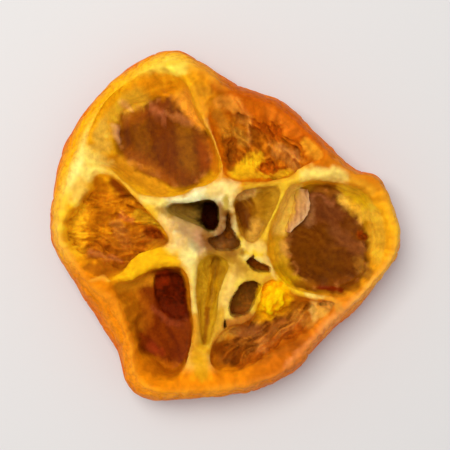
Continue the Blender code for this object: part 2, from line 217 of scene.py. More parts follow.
# In each segment the juice sacs dried down to a film or a crust half way through the slice, and left
# a hollow between the skins on both cut faces. Each hollow is cut by a rounded plug that follows the
# segment's mouth: its wall hangs like a sail under a skin, and rolls over from the peel beside the rim.
FLOOR_DISH = 0.35
FLOOR_UNEVENNESS = 0.22
MOUTH_GROWTH = 0.32
UNDERSIDE_SCALE = 0.93
PLUG_REACH = 2.0
LIP = 0.12
MOST_OF_THE_WAY = 0.93
SKIN_STEEPNESS = 2.3
ROLL_STEEPNESS = 0.7
ROLL_NEAR = 0.7
ROLL_FAR = 2.4
WALL_RINGS = 14
FLOOR_RINGS = 7
PLUG_STEP = 0.42
FEWEST_SIDES = 24
FLOOR_BAYS = 1.7
# A floor is an oval, given by its middle, half its length, half its width and its turn. Its height is
# the upper side of the film there, and its ceiling the film's lower side.
SEGMENTS = {
    "upper_left": {
        "mouth": [
            (-13.9, 7), (-13.6, 9.6), (-12, 12.6), (-9.5, 14.6), (-6.6, 15.4), (-4.4, 14.3),
            (-3.2, 11.6), (-2, 9.6), (-1.2, 7.8), (-0.7, 5.6), (-1.8, 4.4), (-3.7, 3.8),
            (-5.6, 3.1), (-8, 3.2), (-9.9, 4.5), (-11.5, 6), (-12.9, 6.4),
        ],
        "floor": ((-6.3, 9), 5.3, 4.1, -40),
        "height": 3.8, "slope": (0, 0.03), "ceiling": 3.1,
    },
    "upper_right": {
        "mouth": [
            (0.2, 5.3), (-0.1, 6.7), (-0.5, 8.3), (-1.2, 10), (-1.4, 11.5), (-0.7, 12.8),
            (1.1, 13.2), (3.4, 12.6), (5.6, 11.1), (7.9, 9.1), (9.7, 7.2), (8.6, 6.5),
            (7.2, 5.8), (6.1, 5.1), (4.1, 4.7), (1.8, 4.7),
        ],
        "floor": ((3.7, 8.1), 4.6, 2.6, -32),
        "height": 5.2, "slope": (0.08, 0.12), "ceiling": 3,
    },
    "right": {
        "mouth": [
            (7.4, 3.9), (8.8, 4.2), (10.7, 4.05), (12.5, 3.85), (14.3, 2.8), (15.6, 0.8), (16, -1.7),
            (15.4, -4), (13.9, -5.9), (12.2, -7), (10.2, -6.9), (8.3, -6.6), (6.5, -5.9), (5.3, -4.5),
            (4.7, -2.8), (4.7, -1), (5.2, 0.7), (6, 2.3), (6.8, 3.7),
        ],
        "floor": ((10.65, -1.6), 5.3, 4.35, 76),
        "height": 3.7, "slope": (0, 0), "ceiling": 3,
    },
    "middle_right": {
        "mouth": [
            (1.5, 2.9), (3.2, 3.5), (5.1, 3.7), (5.4, 3.3), (4.8, 1.8), (4, 0.1), (3.3, -1),
            (2.7, -1.6), (2.1, -1.1), (1.55, 0.1), (1.25, 1.7),
        ],
        "floor": ((2.5, 1.3), 2, 0.8, -77),
        "height": 4.4, "slope": (0.25, 0), "ceiling": 3,
    },
    "lower_right": {
        "mouth": [
            (4.4, -5.7), (5.7, -6.1), (7, -7.3), (8.8, -7.9), (10.4, -8.4), (9.7, -9.4), (8, -10.7),
            (6, -11.9), (3.8, -13.3), (1.3, -14.6), (-0.3, -14.7), (-1.2, -13.9), (-1.1, -12.5),
            (-0.4, -11.3), (0.7, -10.6), (2, -10.3), (3.2, -9.3), (4, -7.5),
        ],
        "floor": ((3.8, -11.5), 5, 1.6, 30),
        "height": 4.9, "slope": (0.06, -0.1), "ceiling": 2.8,
    },
    "wedge": {
        "mouth": [
            (-2.3, -3.7), (-1, -3.3), (0.1, -4), (-0.4, -5.4), (-0.9, -7.2), (-1.2, -9),
            (-1.6, -10.9), (-2, -12.3), (-2.3, -10.7), (-2.5, -8.1), (-2.7, -5.7),
        ],
        "floor": ((-1.3, -6.6), 3.6, 0.55, 82),
        "height": 4.8, "slope": (0, -0.15), "ceiling": 2.9,
    },
    "lower_left": {
        "mouth": [
            (-11.1, -6.2), (-9.5, -5.8), (-7.7, -5), (-5.8, -4.5), (-4.6, -4.6), (-4, -6),
            (-3.7, -8), (-3.6, -10.2), (-3.8, -12.5), (-4.3, -14.2), (-5.5, -15.4), (-7.2, -15.8),
            (-8.4, -15.2), (-8.9, -13.1), (-9.6, -10.4), (-10.4, -7.9),
        ],
        "floor": ((-6.2, -10.3), 5.2, 2.7, 96),
        "height": 4.1, "slope": (-0.12, 0), "ceiling": 2.3,
    },
    "left": {
        "mouth": [
            (-12.8, 4.9), (-11.5, 4.6), (-10.1, 3.4), (-8.6, 1.7), (-7.5, 0.5), (-6.4, -0.6),
            (-6, -1.6), (-7.2, -2.1), (-8.7, -2.7), (-9.8, -3.5), (-10.7, -4.5), (-12.1, -5),
            (-14, -4.4), (-15.2, -3), (-15.9, -1), (-15.5, 0.6), (-14.3, 2.2), (-13.2, 3.9),
        ],
        "floor": ((-11.5, -0.5), 4.4, 3.5, -20),
        "height": 5.2, "slope": (-0.13, 0), "ceiling": 3,
    },
    "core_hollow": {
        "mouth": [
            (-5.8, 1.7), (-4.4, 1.9), (-2.8, 2.1), (-1.5, 2.25), (-0.95, 1.9), (-0.9, 1), (-0.95, 0),
            (-1.5, -0.4), (-2.3, 0.1), (-3.3, 0.6), (-4.6, 1),
        ],
        "floor": ((-1.7, 1.1), 1.1, 0.7, -80),
        "height": 2, "slope": (0, 0), "ceiling": 1.3,
    },
}
PITS = {
    "core_slit": {
        "mouth": [
            (0, 1.2), (0.45, 1.25), (0.65, 0.2), (1.1, -0.7), (1.7, -1.8), (1.4, -2.5), (0.3, -2.75),
            (-0.9, -2.6), (-1.8, -1.8), (-1.7, -1.2), (-1, -1), (-0.2, -0.4),
        ],
        "floor": ((0.1, -1.8), 1.4, 0.5, -10),
        "height": 4.9,
    },
    "core_gap": {
        "mouth": [(1.9, -3.7), (2.9, -2.9), (3.3, -3.4), (4.6, -4.2), (4.5, -4.9), (3, -4.7)],
        "floor": ((3.4, -4.2), 0.9, 0.4, -28),
        "height": 4.4,
    },
    "seed_pocket": {
        "mouth": [
            (1.9, -5.7), (3.2, -5.5), (3.7, -6.2), (3.2, -7.8), (2.4, -9.1), (1.4, -9.5), (0.6, -9.3),
            (0.3, -8.7), (0.5, -7.7), (1.1, -6.5),
        ],
        "floor": ((2, -7.5), 1.8, 0.9, 58),
        "height": 4,
    },
    "torn_film": {
        "mouth": [
            (-7.4, -5.6), (-7, -5.1), (-5.6, -4.9), (-4.6, -4.9), (-4.2, -5.6), (-4, -7.6), (-4, -9.2),
            (-4.5, -9.9), (-5.8, -9.6), (-6.8, -8.8), (-7.3, -7.4),
        ],
        "floor": ((-5.6, -7.3), 4, 4, 0),
        "height": 3.6, "bend": 1.4,
    },
    "pulp_pit_long": {
        "mouth": [(0.3, 8.8), (1.1, 9.1), (1.4, 7.6), (1.1, 6.2), (0.4, 6.4)],
        "floor": ((0.8, 7.6), 1.1, 0.35, 85),
        "height": 4.4,
    },
    "pulp_pit_round": {
        "mouth": [(3.5, 6.2), (4.6, 6.7), (5.6, 6), (5.3, 5.3), (3.9, 5.2)],
        "floor": ((4.5, 5.9), 0.8, 0.5, 0),
        "height": 4.5,
    },
    "slot_by_the_seed_pocket": {
        "mouth": [(-0.1, -9.5), (0.25, -9.7), (0.15, -10.5), (-0.25, -10.5)],
        "floor": ((0, -10), 0.35, 0.12, 80),
        "height": 5.4,
    },
    "gap_by_the_lower_right_rim": {
        "mouth": [(9.5, -7.9), (10.5, -7.6), (11.2, -7.9), (10.6, -8.6), (9.7, -8.6)],
        "floor": ((10.3, -8.1), 0.5, 0.25, 0),
        "height": 5.4,
    },
    "notch_by_the_right_rim": {
        "mouth": [(13.7, -0.9), (14.3, -0.5), (14.9, -1), (14.8, -1.6), (14, -1.5)],
        "floor": ((14.4, -1.1), 0.4, 0.25, -20),
        "height": 3.4,
    },
    "pit_in_the_left_crust": {
        "mouth": [(-8.4, -0.4), (-7.4, 0), (-6.3, -0.8), (-6.1, -1.5), (-7.2, -1.5), (-8.2, -1.2)],
        "floor": ((-7.2, -0.9), 0.6, 0.3, -20),
        "height": 4.3, "bend": 1.3,
    },
}


def perimeter(corners):
    """The length of a closed line through the corners."""
    return sum((Vector(a) - Vector(b)).length for a, b in zip(corners, corners[1:] + corners[:1]))


def outward(loop, number):
    """The direction square to the loop at one of its points, away from what it encloses."""
    area = sum(a.x * b.y - b.x * a.y for a, b in zip(loop, loop[1:] + loop[:1]))
    along = (loop[(number + 1) % len(loop)] - loop[number - 1]).normalized()
    return Vector((along.y, -along.x)) * math.copysign(1, area)


def mouth_loop(corners, growth):
    """The closed curve through a mouth's corners, moved outwards by that growth."""
    loop = rounded_loop(corners, max(FEWEST_SIDES, round(perimeter(corners) / PLUG_STEP)))
    return [point + outward(loop, number) * growth for number, point in enumerate(loop)]


def floor_reach(floor, way):
    """How far an oval floor reaches from its middle in a direction, with the unevenness of its edge."""
    middle, half_length, half_width, turn = floor
    angle = math.atan2(way.y, way.x) - math.radians(turn)
    across = math.hypot(half_width * math.cos(angle), half_length * math.sin(angle))
    uneven = noise.noise(Vector((FLOOR_BAYS * math.cos(angle), FLOOR_BAYS * math.sin(angle), middle[0])))
    return half_length * half_width / across * (1 + FLOOR_UNEVENNESS * uneven)


def floor_edge(point, floor):
    """The point of the floor's edge that lies on the way from its middle to a point of the mouth."""
    way = point - Vector(floor[0])
    return Vector(floor[0]) + way * min(MOST_OF_THE_WAY, floor_reach(floor, way) / way.length)


def steepness(point):
    """How steep a wall starts at a point of its mouth, which is less beside the rim's crest."""
    away = min((point - mark).length for mark in crest)
    share = min(1.0, max(0.0, (away - ROLL_NEAR) / (ROLL_FAR - ROLL_NEAR)))
    return ROLL_STEEPNESS + (SKIN_STEEPNESS - ROLL_STEEPNESS) * share


plugs = bpy.data.collections.new("Plugs")
bpy.context.scene.collection.children.link(plugs)


def add_plug(name, mouth, hollow, outside, edges, bends, bottom, slope):
    """Adds the plug that cuts one hollow, from outside the face down the wall and over the dished floor."""
    middle = Vector(hollow["floor"][0])
    floor_loop = [floor_edge(point, hollow["floor"]) for point in mouth]
    dish = math.copysign(FLOOR_DISH, outside - bottom)
    rings = [[Vector((point.x, point.y, outside)) for point in mouth]]
    for step in range(WALL_RINGS + 1):
        share = step / WALL_RINGS
        ring = []
        for point, edge, bend, foot in zip(mouth, edges, bends, floor_loop):
            fall = 1 - (1 - share) ** bend
            height = bottom + dish + slope.dot(foot - middle)
            place = point.lerp(foot, share)
            ring.append(Vector((place.x, place.y, edge + (height - edge) * fall)))
        rings.append(ring)
    for step in range(1, FLOOR_RINGS):
        share = step / FLOOR_RINGS
        ring = []
        for foot in floor_loop:
            place = foot.lerp(middle, share)
            height = bottom + dish * (1 - share) + slope.dot(place - middle)
            ring.append(Vector((place.x, place.y, height)))
        rings.append(ring)
    plugs.objects.link(draw_rings(name, rings))


mouths, pit_mouths, lower_mouths = {}, {}, {}
for name, hollow in {**SEGMENTS, **PITS}.items():
    growth = MOUTH_GROWTH if name in SEGMENTS else 0
    loop = mouth_loop(hollow["mouth"], growth)
    (mouths if name in SEGMENTS else pit_mouths)[name] = loop
    edges = [upper_face(point.x, point.y) - LIP for point in loop]
    slope = Vector(hollow.get("slope", (0, 0)))
    outside = THICKNESS + PLUG_REACH
    bends = [hollow.get("bend", steepness(point)) for point in loop]
    add_plug("plug_" + name, loop, hollow, outside, edges, bends, hollow["height"], slope)
for name, segment in SEGMENTS.items():
    loop = mouth_loop(segment["mouth"], 0)
    centre = sum(loop, Vector((0, 0))) / len(loop)
    loop = [centre + (point - centre) * UNDERSIDE_SCALE for point in loop]
    lower_mouths[name] = loop
    edges = [lower_face(point.x, point.y) + LIP for point in loop]
    bends = [SKIN_STEEPNESS] * len(loop)
    level = Vector((0, 0))
    add_plug("plug_below_" + name, loop, segment, -PLUG_REACH, edges, bends, segment["ceiling"], level)


def finish_modifier(piece, kind, **settings):
    """Adds a modifier to the piece and applies it."""
    modifier = piece.modifiers.new(kind.title(), kind)
    for name, value in settings.items():
        setattr(modifier, name, value)
    bpy.context.view_layer.objects.active = piece
    bpy.ops.object.modifier_apply(modifier=modifier.name)


bpy.ops.object.select_all(action="DESELECT")
dried_slice.select_set(True)
cutting = {"operation": "DIFFERENCE", "operand_type": "COLLECTION", "solver": "MANIFOLD"}
finish_modifier(dried_slice, "BOOLEAN", collection=plugs, **cutting)
for plug in list(plugs.objects):
    bpy.data.objects.remove(plug, do_unlink=True)
bpy.data.collections.remove(plugs)


# Everything on the slice shrank as the water left it. The peel went leathery and puckered, the skins
# between the segments warped, and the juice sacs collapsed: to a smooth film where they were thin, and
# to a crumpled crust where they were plump. The cut form is remeshed finely and its points are moved.
VOXEL = 0.155
FORM_SMOOTHING = 2
EDGE_SPACING = 0.2
ROLL_SMOOTHING = 36
ROLL_OUTSIDE = (-1.8, -0.6)
ROLL_INSIDE = (2.8, 1.4)
ROLL_HEIGHT = (4.5, 6.0)
MOST_TRIANGLES = 192000
SHALLOWEST = 0.5
MOUTH_EDGE = (0.1, -0.25)
PEEL_EDGE = (-0.45, 0.25)
PIT_EDGE = (-0.12, 0.3)
FILM_EDGE = (1.19, 0.93)
FILM_DEPTH = (0.3, 0.55)
PEEL_WRINKLE = 0.2
PEEL_CREASE = 0.16
CREASE_WIDTH = 0.16
PORE_PITCH = 0.62
PORE_WIDTH = 0.45
PORE_DEPTH = 0.05
WARP_SIZE = 2.2
SKIN_WARP = 0.2
SKIN_RIDGE = 0.22
SKIN_WRINKLE = 0.13
CREST_WAVE = 0.2
PUCKERS_ROUND = 22
PUCKER_LENGTH = 2.5
PUCKERED_INSIDE = (3.4, 1.0)
PUCKERED_OUTSIDE = (-2.5, -0.5)
RIM_PUCKER = [(0, 0.1), (60, 0.12), (130, 0.09), (200, 0.12), (270, 0.16), (310, 0.24), (340, 0.14)]
WALL_FOLD = 0.3
WALL_SAG = 0.12
LUMP_CENTRE = (4.95, -7.4, 5.5)
LUMP_RADII = (1.4, 2.0, 1.15)
LUMP_TURN = math.radians(-28)
LUMP_EDGE = (1.9, 1.1)
LUMP_CREASE = 0.4
PIT_CREASE = 0.22
CRUSTY = 0.3
# Which way the sacs of a segment run, their size, and how far its film folds, its crust crumples and
# its walls drape.
SACS = {
    "upper_left": {"run": 97, "length": 3.6, "width": 1.1, "fold": 0.02, "crumple": 0.0, "drape": 0.5},
    "upper_right": {"run": 124, "length": 1.7, "width": 0.8, "fold": 0.05, "crumple": 0.7, "drape": 0.8},
    "right": {"run": -36, "length": 3.0, "width": 0.9, "fold": 0.03, "crumple": 0.03, "drape": 0.6},
    "middle_right": {"run": -65, "length": 2.2, "width": 0.6, "fold": 0.06, "crumple": 0.05, "drape": 0.6},
    "lower_right": {"run": 41, "length": 2.8, "width": 0.55, "fold": 0.1, "crumple": 0.5, "drape": 0.8},
    "wedge": {"run": 84, "length": 3.5, "width": 0.5, "fold": 0.06, "crumple": 0.0, "drape": 0.6},
    "lower_left": {"run": 112, "length": 4.0, "width": 1.2, "fold": 0.03, "crumple": 0.02, "drape": 0.25},
    "left": {"run": -12, "length": 1.6, "width": 0.9, "fold": 0.05, "crumple": 0.6, "drape": 0.7},
    "core_hollow": {"run": 10, "length": 1.5, "width": 0.5, "fold": 0.05, "crumple": 0.1, "drape": 0.5},
}


def dye(*chart):
    """A colour in the numbers that shaders use, from the red, green and blue of a colour chart."""
    parts = [number / 255 for number in chart]
    return Vector([((part + 0.055) / 1.055) ** 2.4 if part > 0.04045 else part / 12.92 for part in parts])


FOLD_BEND = 0.55
# Each fold has its two ends, half its width, its rise and its colour, which is partly its own colour
# and partly a painted highlight on its ridge.
RAISED_FOLDS = {
    "upper_left": [
        ((-5.9, 11.8), (-3.5, 10.4), 0.6, 0.16, dye(196, 124, 62)),
        ((-11.5, 10.2), (-11.2, 8.9), 0.6, 0.22, dye(255, 196, 140)),
        ((-10.6, 12.7), (-9.9, 12.3), 0.5, 0.18, dye(255, 190, 120)),
    ],
    "upper_right": [
        ((1.1, 12.9), (2.8, 10.4), 0.5, 0.35, dye(240, 150, 56)),
        ((2.2, 10.2), (2.6, 8.4), 0.5, 0.3, dye(214, 138, 52)),
        ((5.6, 8.1), (7.4, 6.8), 0.5, 0.25, dye(222, 148, 68)),
    ],
    "right": [
        ((8.7, 3), (11.4, 2.6), 0.5, 0.16, dye(176, 108, 62)),
    ],
    "lower_right": [
        ((8, -9.6), (4.8, -12.2), 0.6, 0.3, dye(190, 118, 44)),
        ((6, -9.9), (3.4, -11.9), 0.5, 0.24, dye(180, 108, 40)),
        ((4, -11.9), (3.7, -13), 0.6, 0.25, dye(216, 140, 60)),
    ],
    "left": [
        ((-10.8, 1.1), (-9.5, 0.6), 0.6, 0.22, dye(228, 130, 66)),
        ((-13.7, -2.7), (-10.9, -3.7), 0.5, 0.2, dye(206, 124, 62)),
        ((-13.2, -5.5), (-11, -5.9), 0.4, 0.26, dye(250, 180, 62)),
    ],
}

bpy.ops.mesh.primitive_uv_sphere_add(segments=32, ring_count=20, radius=MM, location=Vector(LUMP_CENTRE) * MM)
lump = bpy.context.object
lump.scale = LUMP_RADII
lump.rotation_euler = (0, 0, LUMP_TURN)
dried_slice.select_set(True)
bpy.context.view_layer.objects.active = dried_slice
bpy.ops.object.join()
finish_modifier(dried_slice, "REMESH", mode="VOXEL", voxel_size=VOXEL * MM)
finish_modifier(dried_slice, "SMOOTH", factor=0.5, iterations=FORM_SMOOTHING)


def edge_finder(loops, spacing):
    """A search tree over points at that spacing along closed loops, each with its outward direction."""
    marks = []
    for name, loop in loops.items():
        fine = rounded_loop(loop, round(perimeter(loop) / spacing))
        marks += [(name, point, outward(fine, number)) for number, point in enumerate(fine)]
    tree = kdtree.KDTree(len(marks))
    for number, (_, point, _) in enumerate(marks):
        tree.insert((point.x, point.y, 0), number)
    tree.balance()
    return tree, marks


def beyond_edge(finder, x, y):
    """The nearest loop's name, and how far outside that loop the point lies, negative inside it."""
    tree, marks = finder
    _, number, distance = tree.find((x, y, 0))
    name, point, away = marks[number]
    return name, math.copysign(distance, (x - point.x) * away.x + (y - point.y) * away.y)


def eased(low, high, value):
    """0 up to low, 1 from high on, and an even curve between them."""
    share = min(1.0, max(0.0, (value - low) / (high - low)))
    return share * share * (3 - 2 * share)


def swirl(x, y, z=0.0):
    """Smooth noise from -1 to 1, whose lumps are about one unit across."""
    return noise.noise(Vector((x, y, z)))


def lumps(place, size, seed):
    """Swirls of about that size over the plan of the slice, which differ from seed to seed."""
    return swirl(place.x / size, place.y / size, seed)


def grain(place, size):
    """Swirls of about that size in every direction."""
    return swirl(place.x / size, place.y / size, place.z / size)


crest_edge = edge_finder({"crest": crest}, EDGE_SPACING)
mouth_edges = {1: edge_finder(mouths, EDGE_SPACING), -1: edge_finder(lower_mouths, EDGE_SPACING)}
pit_edges = edge_finder(pit_mouths, EDGE_SPACING)
roll_group = dried_slice.vertex_groups.new(name="on_roll")
for vert in dried_slice.data.vertices:
    x, y, z = vert.co / MM
    if z > ROLL_HEIGHT[0]:
        inside = -beyond_edge(crest_edge, x, y)[1]
        weight = eased(*ROLL_OUTSIDE, inside) * eased(*ROLL_INSIDE, inside) * eased(*ROLL_HEIGHT, z)
        roll_group.add([vert.index], weight, "REPLACE")
finish_modifier(dried_slice, "SMOOTH", factor=0.5, iterations=ROLL_SMOOTHING, vertex_group="on_roll")


def off_stroke(x, y, start, end):
    """How far a place lies from the straight way between two others."""
    run_x, run_y = end[0] - start[0], end[1] - start[1]
    share = ((x - start[0]) * run_x + (y - start[1]) * run_y) / (run_x * run_x + run_y * run_y)
    share = min(1.0, max(0.0, share))
    return math.hypot(x - start[0] - run_x * share, y - start[1] - run_y * share)


class Place:
    """Where a point of the slice is: in which segment, how deep and how far in, and on which cut face."""

    def __init__(self, point):
        self.x, self.y, self.z = x, y, z = point
        self.degrees = bearing((x, y))
        self.name, self.beyond = beyond_edge(mouth_edges[1], x, y)
        top, bottom = upper_face(x, y), lower_face(x, y)
        segment = SEGMENTS[self.name]
        middle = Vector(segment["floor"][0])
        floor = segment["height"] + Vector(segment["slope"]).dot(Vector((x, y)) - middle)
        split = 0.5 * (floor + segment["ceiling"]) if self.beyond < 0 else 0.5 * THICKNESS
        self.side = 1 if z > split else -1
        if self.side < 0:
            self.name, self.beyond = beyond_edge(mouth_edges[-1], x, y)
            segment = SEGMENTS[self.name]
            middle = Vector(segment["floor"][0])
            self.depth = (z - bottom) / max(SHALLOWEST, segment["ceiling"] - bottom)
        else:
            self.depth = (top - z) / max(SHALLOWEST, top - floor)
        self.depth = min(1.0, max(0.0, self.depth))
        self.inside_crest = -beyond_edge(crest_edge, x, y)[1]
        self.peel = 1 - eased(*PEEL_EDGE, self.inside_crest)
        self.pit_name, beyond_pit = beyond_edge(pit_edges, x, y)
        self.pit = eased(*PIT_EDGE, -beyond_pit) if self.side > 0 else 0.0
        self.away = Vector((x, y)) - middle
        self.floor_share = self.away.length / floor_reach(segment["floor"], self.away)
        self.floor_share += 0.05 * lumps(self, 1.1, 5) + 0.015 * lumps(self, 0.4, 6)
        on_floor = eased(*FILM_EDGE, self.floor_share) * eased(*FILM_DEPTH, self.depth)
        self.film = on_floor * eased(0.0, 0.3, -self.beyond) * (1 - self.peel)
        self.wall = eased(*MOUTH_EDGE, self.beyond) * (1 - self.film) * (1 - self.peel)
        self.crusty = SACS[self.name]["crumple"] > CRUSTY

    def on_fold(self):
        """How near the place is to the ridge of a raised fold, 1 on it, and the fold's rise and tint."""
        share, highest, colour = 0.0, 0.0, None
        for start, end, half_width, rise, tint in RAISED_FOLDS.get(self.name, []) if self.side > 0 else []:
            bend_x, bend_y = (FOLD_BEND * lumps(self, 1.3, seed) for seed in (11, 12))
            away = off_stroke(self.x + bend_x, self.y + bend_y, start, end)
            if away < half_width:
                thickness = half_width * (0.95 + 0.5 * lumps(self, 0.8, 13))
                here = 1 - eased(0.0, max(0.05, thickness), away)
                if here > share:
                    share, highest, colour = here, rise, tint
        return share, highest, colour

    def on_sacs(self):
        """The place along and across the segment's juice sacs, which collapsed in long folds."""
        run = math.radians(SACS[self.name]["run"])
        bend = 0.8 * lumps(self, 2.4, self.side)
        along = self.x * math.cos(run) + self.y * math.sin(run) + bend
        across = self.y * math.cos(run) - self.x * math.sin(run) + bend
        return along, across


def leather(point):
    """How far the drying peel drew in at a point of its side: dents, a few creases, and its oil pores."""
    dents = 0.7 * noise.noise(point / 2.6) + 0.3 * noise.noise(point / 1.1)
    crease = max(0.0, 1 - abs(noise.noise(point / 2.1 + Vector((7, 3, 1)))) / CREASE_WIDTH)
    pore = max(0.0, 1 - noise.voronoi(point / PORE_PITCH)[0][0] / PORE_WIDTH)
    return PEEL_WRINKLE * (0.5 + dents) + PEEL_CREASE * crease * crease + PORE_DEPTH * pore


def folded(along, across, seed):
    """The profile of long folds, from -1 in the valleys to 1 on the sharp ridges."""
    return 1 - 4 * abs(swirl(along, across, seed))


def crust(place, sacs):
    """The height of the crumpled crust that plump sacs dried to, from about -1 to 1."""
    along, across = place.on_sacs()
    cells = Vector((along / sacs["length"], across / sacs["width"], 4 * place.side))
    distances, centres = noise.voronoi(cells)
    seam = eased(0.0, 0.5, distances[1] - distances[0])
    plump = noise.noise(centres[0] * 2.7)
    fibres = folded(along / 1.5, across / 0.42, 2)
    hills = lumps(place, 1.7, 6)
    return (0.5 + 0.6 * plump) * seam + 0.28 * fibres + 0.22 * grain(place, 0.34) + 0.55 * hills - 0.35


def drapes_of(place):
    """The folds that a skin hangs in on its wall, broad ones with finer ones between."""
    way = place.away.normalized()
    broad = swirl(way.x * 4.5, way.y * 4.5, place.depth * 1.5)
    fine = swirl(way.x * 13, way.y * 13, place.depth * 2.5 + 9)
    return 0.75 * broad + 0.4 * fine


def puckers_of(place):
    """The puckers that run across the roll of peel, and how far the place is on that roll."""
    around_rim = Vector((place.x, place.y)).normalized() * PUCKERS_ROUND
    puckers = swirl(around_rim.x, around_rim.y, place.inside_crest / PUCKER_LENGTH)
    on_it = eased(*PUCKERED_INSIDE, place.inside_crest) * eased(*PUCKERED_OUTSIDE, place.inside_crest)
    return puckers, on_it * (place.z > 0.5 * THICKNESS)


def creases_of(place):
    """The creases of the yellow lump, and how far the place is on it."""
    x, y, z = place.x, place.y, place.z
    creases = 0.6 * swirl(x / 0.7, y / 1.1, z / 0.8) + 0.5 * swirl(x / 0.35, y / 0.5, z / 0.4)
    on_it = eased(*LUMP_EDGE, math.hypot(x - LUMP_CENTRE[0], (y - LUMP_CENTRE[1]) * 0.7))
    return creases, on_it * (place.side > 0 and not place.pit)


def relief(place):
    """How far a point of the skins and the pulp rises, and its shade from 0 in a fold to 1 on a ridge."""
    x, y, z = place.x, place.y, place.z
    sacs = SACS[place.name]
    along, across = place.on_sacs()
    film_folds = folded(along / sacs["length"], across / sacs["width"], 3 * place.side)
    crumple = crust(place, sacs) if sacs["crumple"] else 0.0
    rise = place.film * (sacs["fold"] * film_folds + sacs["crumple"] * crumple)
    drapes = drapes_of(place)
    sags = swirl(x / 2.6, y / 2.6, z / 0.4)
    at_floor_edge = eased(0.72, 0.95, place.floor_share) * eased(1.5, 1.05, place.floor_share)
    hung = place.wall * eased(0.05, 0.4, place.depth) + 0.5 * at_floor_edge * place.film
    rise += hung * sacs["drape"] * (WALL_FOLD * drapes + WALL_SAG * sags)
    wrinkles = 0.6 * grain(place, 0.85) + 0.5 * grain(place, 0.36)
    bare = (1 - place.wall) * (1 - place.film) * (1 - place.peel)
    rise += bare * (SKIN_RIDGE * eased(0.0, 0.5, place.beyond) + SKIN_WRINKLE * wrinkles)
    fold_share, fold_rise, _ = place.on_fold()
    rise += fold_share * fold_rise
    puckers, on_roll = puckers_of(place)
    rise += around(RIM_PUCKER, place.degrees) * on_roll * puckers * (1 - place.film)
    creases, on_lump = creases_of(place)
    rise += LUMP_CREASE * on_lump * creases
    pulp = 0.55 * crumple if place.crusty else 0.12 * film_folds + 0.2 * lumps(place, 0.5, 4)
    shade = place.film * pulp + 0.8 * on_lump * creases + hung * sacs["drape"] * (0.4 * drapes + 0.2 * sags)
    shade += bare * 0.28 * wrinkles + on_roll * 0.3 * puckers
    in_pit = PIT_CREASE * (swirl(x / 0.6, y / 0.6, z / 0.8) + 0.6 * swirl(x / 0.3, y / 0.3, z / 0.4))
    return rise * (1 - place.pit) + in_pit * place.pit, min(1.0, max(0.0, 0.5 + 0.9 * shade))


mesh = dried_slice.data
places, shades, moved = [], [], []
for vert in mesh.vertices:
    point = vert.co / MM
    place = Place(point)
    rise, shade = relief(place)
    rise -= leather(point) * place.peel * (1 - eased(0.8, 1.0, abs(vert.normal.z)))
    loose = (1 - place.peel) * (1 - place.depth)
    here = point / WARP_SIZE
    drift = Vector((swirl(*here), swirl(*here + Vector((5, 5, 5))), 0)) * SKIN_WARP * loose
    wave = 0.7 * lumps(place, 2.7, place.side) + 0.3 * lumps(place, 0.9, 3)
    lift = Vector((0, 0, CREST_WAVE * wave * loose)) if place.side > 0 else Vector()
    moved.append(point + vert.normal * rise + drift + lift)
    places.append(place)
    shades.append(shade)


# The colours are painted point by point: outer skin waxy orange, the roll of peel inside it golden, skins
# pale gold, or cream where pith clings to them, and dried juice amber to red-brown, darkest where the film
# hangs deepest. Strokes from one place to another add this slice's streaks, stains and pale ridges, and some
# painted highlights and painted shadows; folds are painted darker and ridges lighter, as painted shade.
OUTER_SKIN = dye(248, 128, 4)
# The darker outer skin, for random mottles and for painted shade low on the side.
OUTER_SKIN_MOTTLE_AND_SHADE = dye(216, 82, 2)
CREAM_PITH = dye(254, 242, 182)
PITH_CENTRE = (-2.6, 0.8)
# How far a fold is painted darker and a ridge lighter, as painted shade and painted light.
PAINTED_SHADE_TONES = ((0.6, 0.5, 0.4), (1.3, 1.42, 1.4))
ROSY_GLINT = dye(226, 146, 70)
YELLOW_PULP = dye(255, 210, 8)
DEEP_YELLOW_PULP = dye(240, 160, 4)
PIT_COVER = 0.96
STROKE_MARGIN = 1.0
ROLL_WIDTH = (3.4, 1.4)
CREAM_REACH = (2.8, 5.0)
LUMP_PAINT_EDGE = (1.6, 1.1)
CREST_HIGHLIGHT_OUTSIDE = (-1.3, -0.2)
CREST_HIGHLIGHT_INSIDE = (0.6, 0.0)
# The segments whose films get painted highlights along their edges.
GLINTED_SEGMENTS = ("upper_left", "right")
ROLL = [
    (0, dye(254, 180, 26)), (22, dye(214, 124, 12)), (48, dye(205, 97, 6)), (86, dye(190, 89, 6)),
    (97, dye(230, 146, 18)), (108, dye(252, 182, 24)), (135, dye(254, 182, 14)), (160, dye(254, 182, 20)),
    (188, dye(250, 168, 20)), (201, dye(234, 136, 10)), (262, dye(246, 144, 10)), (295, dye(214, 112, 14)),
    (322, dye(240, 138, 28)), (345, dye(250, 166, 26)),
]
# Round the rim's crest: the cut edge's paler tint together with a painted highlight, brightest at the upper
# left.
CREST_TINT_AND_HIGHLIGHT = [
    (0, dye(254, 190, 56)), (20, dye(220, 130, 24)), (48, dye(208, 100, 8)), (86, dye(200, 100, 10)),
    (98, dye(240, 166, 44)), (108, dye(254, 222, 84)), (130, dye(254, 214, 60)), (157, dye(255, 250, 156)),
    (172, dye(254, 216, 84)), (188, dye(250, 182, 64)), (201, dye(240, 150, 30)), (262, dye(252, 164, 40)),
    (295, dye(236, 138, 50)), (322, dye(248, 170, 90)), (345, dye(252, 186, 76)),
]
SKIN_TINTS = [
    (10, dye(250, 204, 50)), (45, dye(252, 204, 50)), (72, dye(244, 170, 28)), (102, dye(238, 158, 38)),
    (128, dye(250, 190, 44)), (152, dye(252, 212, 84)), (180, dye(248, 196, 36)), (204, dye(255, 192, 20)),
    (235, dye(252, 190, 44)), (258, dye(255, 222, 112)), (285, dye(254, 214, 88)), (310, dye(250, 202, 44)),
    (333, dye(240, 182, 34)),
]


def strokes(rows):
    """Named strokes of colour: where each starts and ends, its reach, its colour and how far it covers."""
    return [(start, end, reach, dye(*tint), cover) for start, end, reach, tint, cover in rows.values()]


